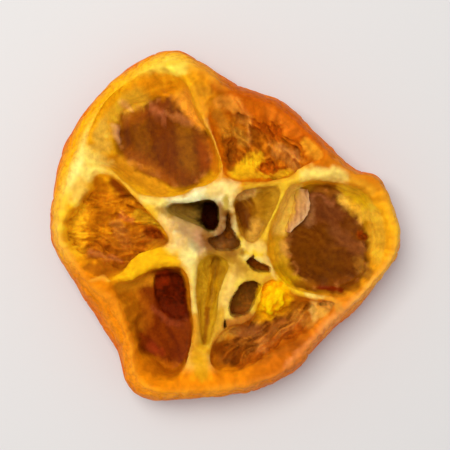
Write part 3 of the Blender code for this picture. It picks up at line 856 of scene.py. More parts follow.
SKIN_STROKES = strokes({
    "white pith above the hollow": ((-5.4, 2.6), (-1.4, 3.2), 1.4, (255, 248, 196), 1),
    "white pith over the core": ((-1.2, 3.5), (0.7, 3.9), 1.3, (248, 216, 134), 1),
    "gold right of the core": ((2.4, 4.4), (5, 4.6), 0.9, (216, 166, 44), 0.85),
    "tan pith left of the core": ((-4.8, 0.3), (-2.4, -1), 1.8, (188, 144, 90), 0.95),
    "rosy pith by the slit": ((-2.5, -0.8), (-2.6, -2.4), 1, (196, 142, 100), 0.85),
    "green tinge on the pith": ((-3.5, -1.8), (-3, -2.3), 0.7, (186, 170, 112), 0.6),
    "pith over the wedge": ((-3.9, -2.9), (-3.3, -4.6), 1.1, (252, 230, 144), 1),
    "pale skin left of the wedge": ((-3.2, -4.6), (-3, -9.5), 0.8, (252, 224, 130), 0.95),
    "golden skin left of the wedge": ((-3, -9.5), (-2.9, -13.5), 1, (206, 138, 22), 0.9),
    "pale skin right of the wedge": ((0.9, -4.9), (-0.2, -8.2), 0.8, (246, 202, 104), 0.95),
    "golden skin right of the wedge": ((-0.6, -9.2), (-1.6, -12.6), 1.1, (214, 158, 40), 0.9),
    "gold at the wedge's foot": ((-2.4, -13), (-2.4, -15), 1.2, (232, 168, 20), 0.85),
    "rosy strip right of the hollow": ((-0.5, 1.9), (-0.5, -0.6), 0.7, (176, 122, 88), 1),
    "olive strip left of the slit": ((0.15, 2.7), (0.2, 1.2), 0.5, (194, 164, 66), 0.95),
    "tan edge right of the slit": ((1.05, 2.2), (1.8, -1), 0.6, (146, 94, 34), 0.95),
    "pale corner of the left segment": ((-15, 4.6), (-14.6, 3), 1.5, (255, 208, 92), 0.9),
    "golden skin over the right rim": ((12.6, 5), (14.6, 3.6), 0.8, (240, 172, 40), 0.7),
    "tan skin over the seed pocket": ((0.4, -4.4), (2.2, -5.1), 0.7, (214, 164, 66), 0.8),
    "brown head of the wedge": ((-0.9, -3.2), (0.6, -3.2), 0.9, (148, 94, 16), 0.95),
    "pale junction": ((2.2, -1.9), (3.6, -2.2), 1, (254, 216, 116), 0.95),
    "pale lip above the core gap": ((2, -3.3), (4.3, -3.6), 0.5, (248, 216, 128), 0.8),
    "pale lip right of the core gap": ((4.7, -3.6), (5, -5.2), 0.5, (254, 226, 140), 0.9),
    "olive valley": ((0.6, -3.3), (2, -4.5), 0.7, (186, 134, 40), 0.95),
    "gold below the core gap": ((2.6, -5.1), (4.6, -5.6), 0.7, (230, 180, 58), 0.85),
    "yellow skin beside the lump": ((4, -6.2), (3.4, -8.6), 0.7, (254, 208, 36), 0.98),
    "olive gold above the lump": ((5.5, -5), (6.9, -6.1), 0.8, (210, 164, 20), 0.85),
    "tan pulp below the seed pocket": ((0.3, -10.2), (3, -9.6), 1, (184, 114, 42), 0.95),
    "golden skin left of the right segment": ((7.5, 4.9), (4.5, -1), 1, (254, 204, 62), 0.95),
    "pale skin over the right segment": ((8.2, 5), (11.8, 5), 1.1, (255, 224, 118), 0.95),
    "pale skin under the right segment": ((8.6, -7.1), (9.9, -7.2), 0.6, (254, 220, 124), 0.9),
    "cream patch by the rim": ((10.6, -7.5), (11.6, -8.4), 0.7, (214, 146, 50), 0.8),
    "golden ridge under the left segment": ((-10.8, -5), (-6, -3.8), 1.5, (250, 190, 20), 0.9),
    "golden skin of the upper left": ((-12.4, 5.8), (-8.6, 2.9), 0.8, (238, 176, 56), 0.9),
    "pale end of that skin": ((-8.4, 2.7), (-6.2, 2.2), 0.7, (254, 226, 124), 0.9),
    # Painted highlight on the roll at the upper left.
    "pale corner": ((-14.2, 6.9), (-13.2, 5.6), 1.9, (255, 226, 116), 0.9),
    "tan skin between the upper segments": ((-1.7, 10.6), (-0.6, 5.2), 0.7, (228, 158, 66), 0.9),
    "brown dent in the rim": ((-2.9, 13.7), (-1.8, 13.6), 0.9, (210, 140, 30), 0.55),
    "brown rim over the upper right": ((-0.6, 14.3), (2.4, 14.2), 1.2, (188, 92, 8), 0.9),
    "brown round the slit": ((0.2, 0.9), (0.2, -0.9), 0.9, (120, 66, 20), 1),
    "brown left of the slit": ((-1.7, -1.1), (-1.3, -2.8), 1.1, (142, 86, 30), 0.95),
    "brown foot of the slit": ((-0.6, -3), (1.6, -2.8), 0.6, (160, 104, 32), 0.8),
    "tan pith by the left segment": ((-6.6, 1.6), (-5.6, 1.1), 0.7, (190, 142, 56), 0.9),
    "tan pith under the left of the core": ((-5.4, -1.2), (-4.2, -1.9), 0.9, (228, 182, 104), 0.8),
    "brown skin over the pith": ((-6.2, 3.4), (-4, 3.7), 0.85, (180, 120, 44), 0.9),
    "brown shoulder of the lower right rim": ((3.2, -13.5), (7.6, -11.6), 1, (176, 90, 18), 0.85),
    "pink outer line of the lower right rim": ((6.2, -14.4), (11.6, -9.6), 0.7, (250, 160, 92), 0.6),
    "pale tip by the left segment": ((-6.4, 0.3), (-5.6, -0.6), 1, (252, 208, 122), 0.9),
    "brown shoulder of the lower left rim": ((-11.4, -7.4), (-10.9, -9), 0.9, (200, 110, 10), 0.7),
    # Painted highlight on the top of the rim.
    "painted highlight on the top of the rim": ((-9.4, 15.1), (-4.4, 15.9), 0.9, (255, 226, 92), 0.85),
    "golden rim by the left segment": ((-16.4, 1.6), (-16.3, -2.2), 1, (255, 198, 44), 0.8),
})
DRIED_JUICE = {
    "upper_left": {"light": dye(134, 70, 2), "dark": dye(112, 50, 0), "wall": dye(255, 186, 22)},
    "upper_right": {"light": dye(222, 132, 22), "dark": dye(148, 68, 0), "wall": dye(214, 114, 6)},
    "right": {"light": dye(124, 66, 6), "dark": dye(102, 48, 0), "wall": dye(250, 180, 24)},
    "middle_right": {"light": dye(176, 118, 16), "dark": dye(138, 78, 8), "wall": dye(206, 150, 34)},
    "lower_right": {"light": dye(196, 122, 40), "dark": dye(128, 58, 2), "wall": dye(204, 118, 14)},
    "wedge": {"light": dye(198, 146, 16), "dark": dye(164, 110, 6), "wall": dye(208, 158, 28)},
    "lower_left": {"light": dye(138, 56, 2), "dark": dye(118, 40, 0), "wall": dye(238, 150, 14)},
    "left": {"light": dye(238, 154, 18), "dark": dye(186, 100, 4), "wall": dye(252, 176, 18)},
    "core_hollow": {"light": dye(132, 98, 18), "dark": dye(96, 68, 8), "wall": dye(160, 126, 48)},
}
JUICE_STROKES = {
    "upper_left": strokes({
        "olive left streak": ((-9.2, 11), (-8.6, 8), 1.2, (136, 76, 2), 0.85),
        "brown middle streak": ((-6.7, 11.6), (-5.9, 5.4), 1.3, (116, 50, 0), 0.85),
        "olive right streak": ((-4.2, 9.9), (-3.6, 5.2), 1.1, (150, 90, 8), 0.9),
        "red right streak": ((-2.4, 8.6), (-2, 6), 0.8, (150, 68, 2), 0.8),
        "dark foot": ((-4.6, 5.4), (-3.2, 4.7), 0.9, (130, 60, 0), 0.7),
        "rosy top": ((-8.4, 11.6), (-6.4, 12.6), 0.8, (150, 70, 12), 0.6),
        "orange top wall": ((-9.6, 14.3), (-4.6, 14.3), 1.5, (255, 166, 18), 0.95),
        "golden upper left wall": ((-11.6, 11.4), (-9, 13.2), 1.4, (255, 196, 50), 0.95),
        "orange left wall": ((-12.8, 10.4), (-12.6, 8), 1.3, (255, 204, 76), 0.95),
        "orange upper right wall": ((-4.4, 13.2), (-2.4, 10.8), 1.3, (248, 168, 46), 0.95),
        "golden slope": ((-11.2, 6.4), (-6.6, 3.4), 1.3, (226, 154, 26), 0.9),
        "brown slope": ((-9.9, 7.4), (-5.8, 4.6), 1, (160, 84, 6), 0.85),
        "streak on the slope": ((-9.8, 6.6), (-7.2, 5.6), 0.3, (206, 130, 24), 0.7),
        "second streak on the slope": ((-9.2, 5.7), (-6.8, 5), 0.3, (146, 74, 4), 0.7),
        # Painted highlight on the roll at the upper left.
        "pale corner": ((-14.2, 6.9), (-12.6, 5.9), 1.4, (255, 218, 106), 0.9),
        "orange right wall": ((-1.5, 8.9), (-1, 5.8), 0.6, (206, 116, 14), 0.8),
        "rosy glints": ((-7.7, 12.3), (-6.4, 11.5), 0.5, (194, 112, 68), 0.65),
        "brown upper left edge": ((-10.4, 11), (-9, 11.4), 1, (160, 84, 6), 0.9),
    }),
    "upper_right": strokes({
        "orange outer wall": ((1.4, 13.4), (8.8, 8.8), 1.9, (216, 108, 12), 0.9),
        # Orange with a painted sheen on it.
        "orange with a painted sheen": ((4.6, 11.4), (7.6, 9.6), 0.9, (238, 130, 30), 0.7),
        "red-brown under the orange with a painted sheen": ((3.3, 10.4), (5.4, 9.2), 1, (184, 80, 4), 0.75),
        # Painted golden highlight.
        "painted golden highlight": ((8.5, 8.2), (9.6, 6.9), 1, (254, 176, 44), 0.9),
        "yellow ridge": ((1.1, 5.5), (3.3, 6.7), 1.1, (254, 200, 26), 0.95),
        "gold foot": ((1.8, 5.1), (6.6, 5.3), 0.6, (236, 182, 26), 0.8),
        "tan sponge": ((5.4, 7.8), (7.2, 6.6), 1.1, (218, 144, 58), 0.7),
        "olive tan": ((1.2, 9.6), (2, 8.6), 0.8, (196, 134, 38), 0.7),
        "brown left wall": ((0, 9.2), (0.6, 6), 0.7, (160, 82, 8), 0.85),
        "golden upper left end": ((-0.6, 12.6), (0.8, 12.4), 1, (244, 160, 52), 0.85),
        "tan patch under the golden end": ((1.2, 11.6), (2.2, 10.8), 0.8, (220, 140, 44), 0.7),
        "tan left wall": ((-0.7, 11.4), (0.1, 9.6), 0.9, (196, 122, 26), 0.8),
    }),
    "right": strokes({
        "purple-brown top": ((8.8, 2), (11.6, 1), 1.6, (122, 62, 24), 0.85),
        # Painted rosy reflections across the film, in a band.
        "painted rosy reflections": ((11.4, -0.6), (14.2, -2.6), 1, (146, 84, 42), 0.55),
        "smooth olive foot": ((8.2, -3.2), (11, -4.6), 2, (110, 56, 0), 0.8),
        "olive lower right": ((14, -3.9), (14.7, -5), 0.9, (180, 120, 38), 0.75),
        "brown lower right wall": ((11.4, -6.5), (13.1, -6), 1.2, (134, 70, 10), 0.9),
        # Painted shadow under the top edge.
        "painted shadow under the top edge": ((9.7, 3.7), (11.2, 3.5), 0.55, (172, 102, 22), 0.9),
        "golden upper right wall": ((12.6, 2.9), (14.6, 1.2), 1.1, (255, 200, 58), 0.95),
        "lemon slope": ((12.8, 3.7), (14.8, 2.2), 1, (255, 206, 24), 0.9),
        # Painted highlight spot.
        "painted highlight spot": ((12.1, 3), (12.7, 2), 0.5, (246, 196, 90), 0.5),
        "golden upper left wall": ((7, 3.8), (5.7, -0.4), 1.2, (255, 206, 84), 1),
        "olive left wall": ((5.5, -1.6), (6, -4), 0.9, (226, 172, 34), 0.9),
        "tan lower left wall": ((6, -1.9), (6.4, -2.9), 0.6, (222, 162, 70), 0.75),
        "olive gold foot of the wall": ((5.6, -4.4), (7.6, -6), 0.9, (206, 156, 14), 0.9),
        # Painted shadow line under the film.
        "painted shadow line under the film": ((8.6, -6.5), (12, -6.7), 0.35, (128, 36, 0), 0.95),
        "orange right wall": ((15.4, 2.4), (15.9, -3.4), 1.1, (255, 196, 54), 0.85),
        "golden top wall": ((12, 4.2), (13.6, 3.4), 0.7, (255, 196, 40), 0.9),
        "brown foot of the lower left wall": ((7.6, -6.2), (9.2, -6.4), 0.7, (156, 92, 10), 0.85),
        "tan film beside the flap": ((8.8, 2.4), (8.7, 0.2), 0.7, (176, 118, 70), 0.75),
    }),
    "middle_right": strokes({
        "dark left": ((1.5, 1.9), (2.3, 0.1), 1.2, (124, 64, 6), 0.95),
        "olive right": ((4.3, 3), (3.6, 1.2), 0.9, (176, 120, 16), 0.85),
        "tan top": ((1.2, 3.1), (2.8, 3.7), 0.9, (248, 202, 112), 1),
        "golden foot": ((3.2, 0), (2.8, -1.6), 1, (222, 168, 66), 0.9),
    }),
    "lower_right": strokes({
        "orange rim side": ((1.8, -14.5), (9.2, -9.8), 1, (190, 94, 12), 0.85),
        "tan ridge beside the lump": ((3, -9.3), (3.6, -9.9), 0.8, (242, 170, 48), 0.85),
        "gold left end": ((-0.6, -11.3), (0.9, -10.8), 0.9, (250, 184, 58), 0.95),
        "gold under the lump": ((3.4, -9.4), (6.6, -8.6), 0.9, (228, 156, 22), 0.9),
        "brown head": ((6.4, -8.2), (8.6, -8.6), 0.9, (158, 88, 8), 0.85),
        "brown foot": ((-0.4, -12.6), (1.6, -13.4), 1.3, (150, 76, 8), 0.85),
        "purple-tan shoulder": ((1.2, -10.9), (3.4, -10.9), 0.9, (162, 94, 42), 0.8),
        "golden tan head": ((7.4, -9.4), (8.6, -10), 0.9, (216, 142, 46), 0.85),
        "pale skin across the head": ((9.2, -7.5), (9.1, -9.4), 0.6, (240, 190, 92), 0.8),
        "yellow skin by the rim": ((9.8, -8.9), (10.6, -8.8), 0.7, (238, 184, 78), 0.8),
    }),
    "wedge": strokes({
        "dark head": ((-0.9, -3.7), (-1, -4.9), 0.9, (156, 104, 12), 0.8),
        "brown foot": ((-1.8, -8.6), (-2.1, -12), 0.35, (150, 84, 4), 0.85),
    }),
    "lower_left": strokes({
        "golden brown left": ((-10.2, -6.8), (-9.1, -9.6), 1.9, (196, 114, 12), 0.95),
        "golden underside of the skin": ((-10.4, -6.2), (-7.6, -5.6), 0.9, (232, 152, 26), 0.95),
        "brown beside the tear": ((-8.4, -7), (-8, -9.6), 1, (156, 72, 6), 0.7),
        "dark torn part": ((-5.7, -5.7), (-5, -8.6), 1.9, (98, 24, 0), 0.95),
        "red corner of the tear": ((-7, -5.4), (-6.2, -5.2), 0.6, (160, 50, 6), 0.7),
        "red middle": ((-7.6, -12.6), (-6.8, -13.2), 0.8, (158, 54, 20), 0.6),
        "golden foot": ((-7.8, -14.4), (-5.2, -15.2), 1.2, (196, 106, 8), 0.9),
        "orange rim side": ((-10.8, -8.2), (-9.2, -14.4), 0.8, (248, 152, 22), 0.85),
        "rosy line by the rim": ((-10.1, -11), (-9.6, -13), 0.4, (255, 162, 78), 0.8),
        "rosy edge of the tear": ((-7.4, -8.7), (-5.8, -10.2), 0.4, (158, 72, 36), 0.7),
        "rosy lower edge of the tear": ((-5.8, -10.2), (-4.2, -10.5), 0.4, (150, 66, 30), 0.7),
        "brown right side": ((-3.9, -10.6), (-4, -13.6), 0.9, (136, 56, 6), 0.85),
    }),
    "left": strokes({
        # Painted shadow under the skin between this segment and the upper left one.
        "painted shadow in the crevice": ((-11.3, 4.3), (-10.3, 3.4), 0.9, (150, 66, 6), 0.95),
        "painted shadow line under the skin": ((-10.1, 3.5), (-7, 1.7), 0.7, (146, 78, 4), 0.95),
        "golden olive near the core": ((-9, 1), (-6.6, 0.2), 0.8, (218, 168, 28), 0.85),
        "brown spot": ((-8, -0.7), (-6.3, -1.6), 1, (150, 78, 10), 0.9),
        "grey-tan middle": ((-11.2, 0), (-10.2, -2), 0.9, (190, 120, 48), 0.7),
        "brown bottom": ((-13.8, -4.8), (-9.6, -4), 1.4, (170, 90, 10), 0.9),
        "orange dimple": ((-13.3, 4.5), (-12.4, 3.9), 0.8, (206, 120, 6), 0.9),
        "golden rim side": ((-15.2, 1.8), (-15.4, -2.6), 1.4, (254, 188, 30), 0.9),
        "brown lower half": ((-12.8, -2.8), (-8.8, -1.6), 1.7, (178, 94, 14), 0.65),
        "tan end by the core": ((-8.2, -1.2), (-6.6, -1.9), 0.8, (168, 98, 20), 0.6),
        "orange top": ((-13, 3.4), (-12, 2.8), 1, (240, 150, 16), 0.7),
    }),
    "core_hollow": strokes({
        # Painted shadow under the pith band.
        "painted shadow under the pith band": ((-5.2, 2), (-2.8, 2.3), 0.35, (70, 52, 6), 0.8),
        "golden left floor": ((-5, 1.4), (-3, 0.8), 1.1, (206, 158, 66), 1),
        # The core hollow's floor closes the deep hole, and here it is painted near black as painted shade.
        "painted shade in the deep right part": ((-1.5, 1.8), (-1.5, 0.2), 1.7, (44, 8, 0), 1),
    }),
}
PIT_TINTS = {
    "core_slit": dye(136, 74, 10),
    "core_gap": dye(138, 62, 2),
    "seed_pocket": dye(134, 72, 12),
    "torn_film": dye(86, 20, 0),
    "pulp_pit_long": dye(156, 80, 8),
    "pulp_pit_round": dye(186, 90, 6),
    "slot_by_the_seed_pocket": dye(100, 62, 2),
    "gap_by_the_lower_right_rim": dye(206, 150, 60),
    "notch_by_the_right_rim": dye(140, 58, 4),
    "pit_in_the_left_crust": dye(146, 62, 4),
}
PIT_STROKES = strokes({
    "dark foot of the slit": ((0.9, -1.6), (0.9, -2.3), 0.8, (98, 42, 4), 0.85),
    "tan left of the slit": ((-1.6, -1.4), (-0.7, -2.5), 0.7, (158, 98, 36), 0.7),
    "dark side of the seed pocket": ((2.9, -6.2), (2.7, -7.4), 0.6, (92, 40, 4), 0.7),
    "olive side of the seed pocket": ((1.6, -6.8), (1, -8.4), 0.6, (126, 78, 10), 0.6),
    "red foot of the seed pocket": ((1, -8.8), (2, -9), 0.6, (138, 62, 10), 0.7),
    "red corner of the torn film": ((-7, -6.1), (-6.4, -5.8), 0.8, (150, 44, 6), 0.7),
    "lighter foot of the torn film": ((-6.4, -8.8), (-4.6, -9), 1, (112, 34, 8), 0.7),
})


def stroked(colour, place, laid):
    """The colour with each soft-edged stroke that reaches the place laid over it."""
    for start, end, reach, tint, cover in laid:
        distance = off_stroke(place.x, place.y, start, end)
        if distance < 1.4 * reach:
            ragged = distance * (1 + 0.4 * lumps(place, 0.9, 7))
            ragged += 0.3 * min(1.0, reach) * lumps(place, 0.45, 8)
            full = max(0.3 * reach, reach - STROKE_MARGIN)
            colour = colour.lerp(tint, cover * eased(reach, full, ragged))
    return colour


def with_painted_shade(colour, shade):
    """The colour with painted shade in a fold, and painted light on a ridge, where the skin is thin."""
    share = eased(0.0, 1.0, shade)
    tones = [low + (high - low) * share for low, high in zip(*PAINTED_SHADE_TONES)]
    return Vector([min(1.0, part * tone) for part, tone in zip(colour, tones)])


def skin_colour(place, roll, near_rim, mottle):
    """The skins between the segments: cream by the pith, golden further out, and the roll of peel."""
    from_pith = math.hypot(place.x - PITH_CENTRE[0], place.y - PITH_CENTRE[1])
    tint = around(SKIN_TINTS, place.degrees)
    colour = CREAM_PITH.lerp(tint, eased(*CREAM_REACH, from_pith + 1.2 * (mottle - 0.5)))
    colour = colour.lerp(roll, near_rim)
    if place.side > 0 and place.beyond > -0.5:
        colour = stroked(colour, place, SKIN_STROKES)
    return colour


def film_colour(place, juice, shade):
    """The dried juice on a segment's floor, streaked along its sacs."""
    along, across = place.on_sacs()
    streak = 0.5 + 0.8 * swirl(along / 3.2, across / 0.5, 9) + 0.35 * swirl(along / 1.1, across / 0.22, 4)
    # A crust is lighter on its ridges and darker in its seams, partly its own colour and partly painted
    # shade.
    if place.crusty:
        lightness = eased(0.0, 1.05, 0.7 * shade + 0.3 * streak)
    else:
        lightness = eased(0.1, 0.9, streak)
    return juice["dark"].lerp(juice["light"], lightness)


def edge_glints(place):
    """How far a place shows painted rosy highlights, the glints on the beaded edge of a smooth film."""
    ring = eased(0.8, 0.95, place.floor_share) * eased(1.15, 1.0, place.floor_share) * place.film
    return ring * (eased(0.12, 0.4, lumps(place, 0.6, 1)) * (place.name in GLINTED_SEGMENTS))


def pit_colour(place):
    """The mottled brown inside the pits and tears."""
    mottle = 0.6 * lumps(place, 0.6, 14) + 0.6 * lumps(place, 0.25, 15)
    return stroked(PIT_TINTS[place.pit_name] * (1 + mottle), place, PIT_STROKES)


def off_lump(place):
    """How far out a place lies from the middle of the yellow lump, where 1 is the lump's surface."""
    way = Vector((place.x, place.y, place.z)) - Vector(LUMP_CENTRE)
    way.rotate(Euler((0, 0, -LUMP_TURN)))
    return Vector([part / radius for part, radius in zip(way, LUMP_RADII)]).length


def paint_of(place, shade):
    """The colour of one point of the slice."""
    juice = DRIED_JUICE[place.name]
    mottle = 0.5 + 0.5 * lumps(place, 1.3, 4 * place.side)
    roll = around(ROLL, place.degrees)
    near_rim = eased(*ROLL_WIDTH, place.inside_crest)
    colour = skin_colour(place, roll, near_rim, mottle)
    wall = juice["wall"].lerp(roll, 0.7 * near_rim)
    wall = wall.lerp(juice["dark"], 0.22 * eased(0.45, 1.0, place.depth))
    # Near a mouth the skin takes the wall's colour, which is also painted shade on its flanks beside the pale
    # ridge.
    colour = colour.lerp(wall, 0.35 * eased(0.7, 0.1, place.beyond) * (place.side > 0))
    colour = colour.lerp(wall, eased(0.25, -0.15, place.beyond) * eased(0.03, 0.16, place.depth))
    colour = colour.lerp(film_colour(place, juice, shade), place.film)
    if place.side > 0:
        streaked = stroked(colour, place, JUICE_STROKES[place.name])
        colour = colour.lerp(streaked, eased(*MOUTH_EDGE, place.beyond) * (1 - 0.8 * place.peel))
    # Painted rosy highlights along the edge of a smooth film.
    colour = colour.lerp(ROSY_GLINT, 0.4 * edge_glints(place))
    # Painted shade in folds and painted light on ridges, a quarter weaker on the film.
    colour = with_painted_shade(colour, shade + 0.25 * (0.5 - shade) * place.film)
    # Raised folds take their tint, partly their own colour and partly a painted highlight on the ridge.
    fold_share, _, fold_tint = place.on_fold()
    if fold_share:
        colour = colour.lerp(fold_tint, 0.55 * fold_share)
    colour = colour.lerp(pit_colour(place), PIT_COVER * place.pit)
    # The lump is deeper yellow in random mottles and, as painted shade, in its creases.
    pulp = DEEP_YELLOW_PULP.lerp(YELLOW_PULP, eased(0.2, 0.8, 0.4 * mottle + 0.6 * shade))
    colour = colour.lerp(pulp, eased(*LUMP_PAINT_EDGE, off_lump(place) + 0.3 * lumps(place, 0.7, 15)))
    height_share = place.z / rim_height(place.degrees)
    # The outer skin is darker in random mottles and, as painted shade, low on its side.
    outer = OUTER_SKIN_MOTTLE_AND_SHADE.lerp(OUTER_SKIN, 0.5 * mottle + 0.5 * eased(0.3, 0.8, height_share))
    outer = outer.lerp(roll, eased(0.55, 0.92, height_share))
    colour = colour.lerp(outer, place.peel)
    # A line along the rim's crest gets its paler tint and a painted highlight.
    line = eased(*CREST_HIGHLIGHT_OUTSIDE, place.inside_crest) * eased(*CREST_HIGHLIGHT_INSIDE, place.inside_crest)
    line *= (0.6 + 0.4 * lumps(place, 1.6, 12)) * eased(-0.4, 0.2, place.beyond)
    return colour.lerp(around(CREST_TINT_AND_HIGHLIGHT, place.degrees), line * eased(0.55, 0.88, height_share))


def painted(piece, colours, zones):
    """Gives a piece, point by point, its colours and its shares of peel, of film and of brown."""
    attributes = piece.data.attributes
    attributes.new("paint", "FLOAT_COLOR", "POINT").data.foreach_set("color", colours)
    attributes.new("zones", "FLOAT_VECTOR", "POINT").data.foreach_set("vector", zones)


colours, zones = [], []
for place, shade in zip(places, shades):
    colours.extend((*paint_of(place, shade), 1.0))
    wet = place.film * (0.35 * shade if place.crusty else 1.0) * (1 - place.pit)
    wet *= place.name != "core_hollow"
    zones.extend((place.peel, wet, max(place.film, place.peel, 0.5 * place.wall)))
for vert, point in zip(mesh.vertices, moved):
    vert.co = Vector((point.x, point.y, max(0.0, point.z))) * MM
painted(dried_slice, colours, zones)
mesh.update()
triangles = sum(len(face.vertices) - 2 for face in mesh.polygons)
finish_modifier(dried_slice, "DECIMATE", ratio=min(1.0, MOST_TRIANGLES / triangles))
dried_slice.data.shade_smooth()


class Wire:
    """An output of a shader node, on which Python's operators add Math nodes."""

    def __init__(self, finish, socket):
        self.finish = finish
        self.socket = socket

    def maths(self, operation, first, second):
        return self.finish.node("ShaderNodeMath", {"operation": operation}, {0: first, 1: second})

    def __add__(self, other):
        return self.maths("ADD", self, other)

    def __radd__(self, other):
        return self.maths("ADD", other, self)

    def __sub__(self, other):
        return self.maths("SUBTRACT", self, other)

    def __rsub__(self, other):
        return self.maths("SUBTRACT", other, self)

    def __mul__(self, other):
        return self.maths("MULTIPLY", self, other)

    def __rmul__(self, other):
        return self.maths("MULTIPLY", other, self)


class Finish:
    """A material that is built up node by node."""

    def __init__(self, name):
        self.material = bpy.data.materials.new(name)
        self.material.use_nodes = True
        self.tree = self.material.node_tree
        self.shader = self.tree.nodes["Principled BSDF"]

    def node(self, kind, settings=None, inputs=None, output=0):
        """Adds a node with its settings and its inputs, which are values or wires, and gives an output."""
        made = self.tree.nodes.new(kind)
        for name, value in (settings or {}).items():
            if name == "stops":
                while len(made.color_ramp.elements) < len(value):
                    made.color_ramp.elements.new(0.5)
                for element, (position, colour) in zip(made.color_ramp.elements, value):
                    element.position = position
                    element.color = (*colour, 1)
            else:
                setattr(made, name, value)
        for name, value in (inputs or {}).items():
            if isinstance(value, Wire):
                self.tree.links.new(value.socket, made.inputs[name])
            else:
                made.inputs[name].default_value = value
        return Wire(self, made.outputs[output])

    def multiplied(self, share, first, second):
        """One colour multiplied by another, as far as the share says."""
        settings = {"data_type": "RGBA", "blend_type": "MULTIPLY"}
        return self.node("ShaderNodeMix", settings, {0: share, 6: first, 7: second}, 2)

    def ramp(self, height, *stops):
        """The colour at that height between the stops, which are pairs of a height and a colour."""
        return self.node("ShaderNodeValToRGB", {"stops": stops}, {0: height})

    def feed(self, **inputs):
        """Sets the shader's own inputs, which are named with underscores for spaces."""
        for name, value in inputs.items():
            socket = self.shader.inputs[name.replace("_", " ")]
            if isinstance(value, Wire):
                self.tree.links.new(value.socket, socket)
            else:
                socket.default_value = value

    def cover(self, piece):
        """Makes this the piece's only material."""
        piece.data.materials.clear()
        piece.data.materials.append(self.material)


fruit = Finish("dried_fruit")
here = fruit.node("ShaderNodeTexCoord", output=3)
paint = fruit.node("ShaderNodeAttribute", {"attribute_name": "paint"})
zone = fruit.node("ShaderNodeAttribute", {"attribute_name": "zones"}, output=1)
peel, film, brown = (fruit.node("ShaderNodeSeparateXYZ", inputs={0: zone}, output=part) for part in range(3))
fine_grain = {"Vector": here, "Scale": 1800.0, "Detail": 5.0, "Roughness": 0.6}
flecks = fruit.node("ShaderNodeTexNoise", inputs=fine_grain)
blotches = fruit.node("ShaderNodeTexNoise", inputs={"Vector": here, "Scale": 420.0, "Detail": 3.0})
oil_glands = {"Vector": here, "Scale": 1500.0, "Smoothness": 0.4}
glands = fruit.node("ShaderNodeTexVoronoi", {"feature": "SMOOTH_F1"}, oil_glands)
darker = fruit.ramp(flecks, (0.34, (0.7, 0.6, 0.45)), (0.62, (1.15, 1.16, 1.12)))
freckled = fruit.multiplied(0.2 + 0.5 * brown, paint, darker)
warmer = fruit.ramp(blotches, (0.35, (0.95, 0.84, 0.62)), (0.65, (1.04, 1.04, 1.0)))
blotched = fruit.multiplied(0.15 + 0.4 * brown, freckled, warmer)
bumps = glands * peel * 0.9 + flecks * 0.6 + blotches * film * 0.4
dimpled = fruit.node("ShaderNodeBump", inputs={"Strength": 0.7, "Distance": 0.0001, "Height": bumps})
fruit.feed(
    Base_Color=blotched,
    Roughness=0.62 - 0.16 * film - 0.05 * peel + (flecks - 0.5) * 0.25,
    Normal=dimpled,
    Specular_IOR_Level=0.04,
    Specular_Tint=(1.0, 0.7, 0.36, 1.0),
    Subsurface_Weight=0.4,
    Subsurface_Radius=(1.0, 0.42, 0.1),
    Subsurface_Scale=0.0014,
    Coat_Weight=film * 0.03 + peel * 0.05,
    Coat_Roughness=0.28,
    Coat_IOR=1.3,
)
fruit.cover(dried_slice)
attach(dried_slice, "root")
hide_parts("calamondin_slice")


# Where a skin tore beside the right segment, its edge curled up into a thin flap that leans over the
# film. It is drawn as rings side by side, each of which runs from the wall to the free edge and back,
# and its root is sunk into the wall, because it is grown together with the slice.
DROP_HEIGHT = 15.0
FLAP_SIDES = 24
FLAP_RINGS = 16
FLAP_THICKNESS = 0.16
FLAP_ROOT = [(7.3, 3.8), (7.1, 2.9), (6.9, 1.9), (6.6, 0.9), (6.3, 0.1), (6.2, -0.7)]
FLAP_EDGE = [(8.6, 3.7), (8.8, 2.8), (8.75, 1.8), (8.5, 0.9), (7.6, 0.0), (6.7, -0.8)]
FLAP_SINKING = 0.25
FLAP_LIFT = 0.55
FLAP_CURL = 0.25
FLAP_WAVER = 0.22
FLAP_RIPPLE = 0.25
FLAP_ARCH = 0.3
FLAP_CREASE = 0.14
FLAP_MARKS = 40
FLAP_ZONES = (0.0, 0.3, 0.4)
FLAP_ROOT_TINT = dye(232, 172, 62)
FLAP_MIDDLE = dye(222, 158, 96)
FLAP_RIM = dye(228, 170, 120)
FLAP_STREAK = dye(168, 104, 62)


def surface_height(point):
    """How high the dried slice's upper side is at a place, in millimetres."""
    _, found, _, _ = dried_slice.ray_cast(Vector((*point, DROP_HEIGHT)) * MM, Vector((0, 0, -1)))
    return found.z / MM


bpy.ops.object.select_all(action="DESELECT")
rings = []
for step in range(FLAP_RINGS + 1):
    share = step / FLAP_RINGS
    root, edge = (on_curve(points, share * (len(points) - 1)) for points in (FLAP_ROOT, FLAP_EDGE))
    root = Vector((*root, surface_height(root) - FLAP_SINKING))
    edge = Vector((*edge, surface_height(edge) + FLAP_LIFT * math.sin(math.pi * (0.1 + 0.8 * share))))
    ring = []
    for side in range(FLAP_SIDES):
        angle = 2 * math.pi * side / FLAP_SIDES
        reach = 0.5 - 0.5 * math.cos(angle)
        place = root.lerp(edge, reach)
        place.x += FLAP_WAVER * reach * swirl(place.y / 0.5, 3)
        ripple = FLAP_RIPPLE * swirl(place.x / 0.9, place.y / 0.7, 4)
        place.z += FLAP_CURL * reach**4 + FLAP_ARCH * math.sin(math.pi * reach) + ripple
        place.z += FLAP_CREASE * swirl(place.x / 0.25, place.y / 0.9, 8)
        place.z += 0.5 * FLAP_THICKNESS * math.copysign(abs(math.sin(angle)) ** 0.5, math.sin(angle))
        ring.append(place)
    rings.append(ring)
torn_flap = draw_rings("torn_flap", rings)
flap_sides = [
    [on_curve(side, (len(side) - 1) * mark / FLAP_MARKS) for mark in range(FLAP_MARKS + 1)]
    for side in (FLAP_ROOT, FLAP_EDGE)
]


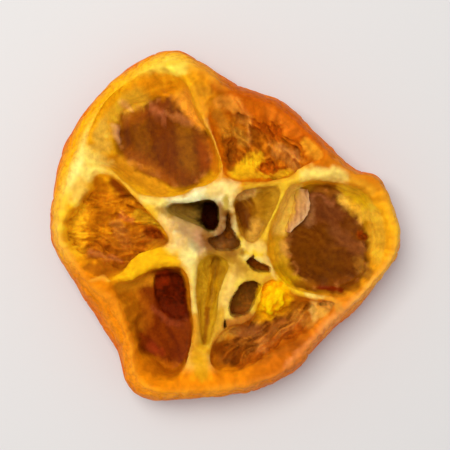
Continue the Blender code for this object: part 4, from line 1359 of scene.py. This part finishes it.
def flap_tint(place):
    """Golden at the wall, rosy in the middle, and pale along the curled edge."""
    here = Vector((place.x, place.y))
    to_root, to_edge = (min((here - mark).length for mark in marks) for marks in flap_sides)
    share = to_root / (to_root + to_edge) + 0.2 * lumps(place, 0.6, 2)
    tint = FLAP_ROOT_TINT.lerp(FLAP_MIDDLE, eased(0.2, 0.5, share)).lerp(FLAP_RIM, eased(0.55, 0.95, share))
    return tint.lerp(FLAP_STREAK, 0.7 * eased(0.1, 0.4, swirl(place.x / 0.25, place.y / 1.2, 6)))


flap_colours = []
for vert in torn_flap.data.vertices:
    flap_colours.extend((*flap_tint(vert.co / MM), 1.0))
painted(torn_flap, flap_colours, FLAP_ZONES * len(torn_flap.data.vertices))
torn_flap.data.shade_smooth()
fruit.cover(torn_flap)
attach(torn_flap, "root")


# The slice lies on a plain pale floor, which isn't part of it. A soft lamp at the upper left of the
# picture and an even pale sky light it, and the camera looks straight down on it.
bpy.ops.mesh.primitive_plane_add(size=2.0, location=(0, 0, 0))
ground = bpy.context.object
ground.name = "ground"
pale_ground = Finish("pale_ground")
pale_ground.feed(Base_Color=(0.72, 0.72, 0.74, 1), Roughness=0.9)
pale_ground.cover(ground)

KEY_PLACE = Vector((-0.05, 0.055, 0.225))
bpy.ops.object.light_add(type="AREA", location=KEY_PLACE)
key = bpy.context.object
key.data.size = 0.12
key.data.energy = 0.38
key.data.color = (1.0, 0.96, 0.9)
key.rotation_euler = (Vector((0, 0, 0.004)) - KEY_PLACE).to_track_quat("-Z", "Y").to_euler()

world = bpy.data.worlds.new("studio")
bpy.context.scene.world = world
world.use_nodes = True
background = world.node_tree.nodes["Background"]
background.inputs["Color"].default_value = (1, 0.98, 0.95, 1)
background.inputs["Strength"].default_value = 0.52

bpy.ops.object.camera_add(location=(0, 0, 0.115), rotation=(0, 0, 0))
camera = bpy.context.object
camera.data.lens = 85
camera.data.clip_start = 0.01
bpy.context.scene.camera = camera
bpy.context.scene.view_settings.view_transform = "Standard"
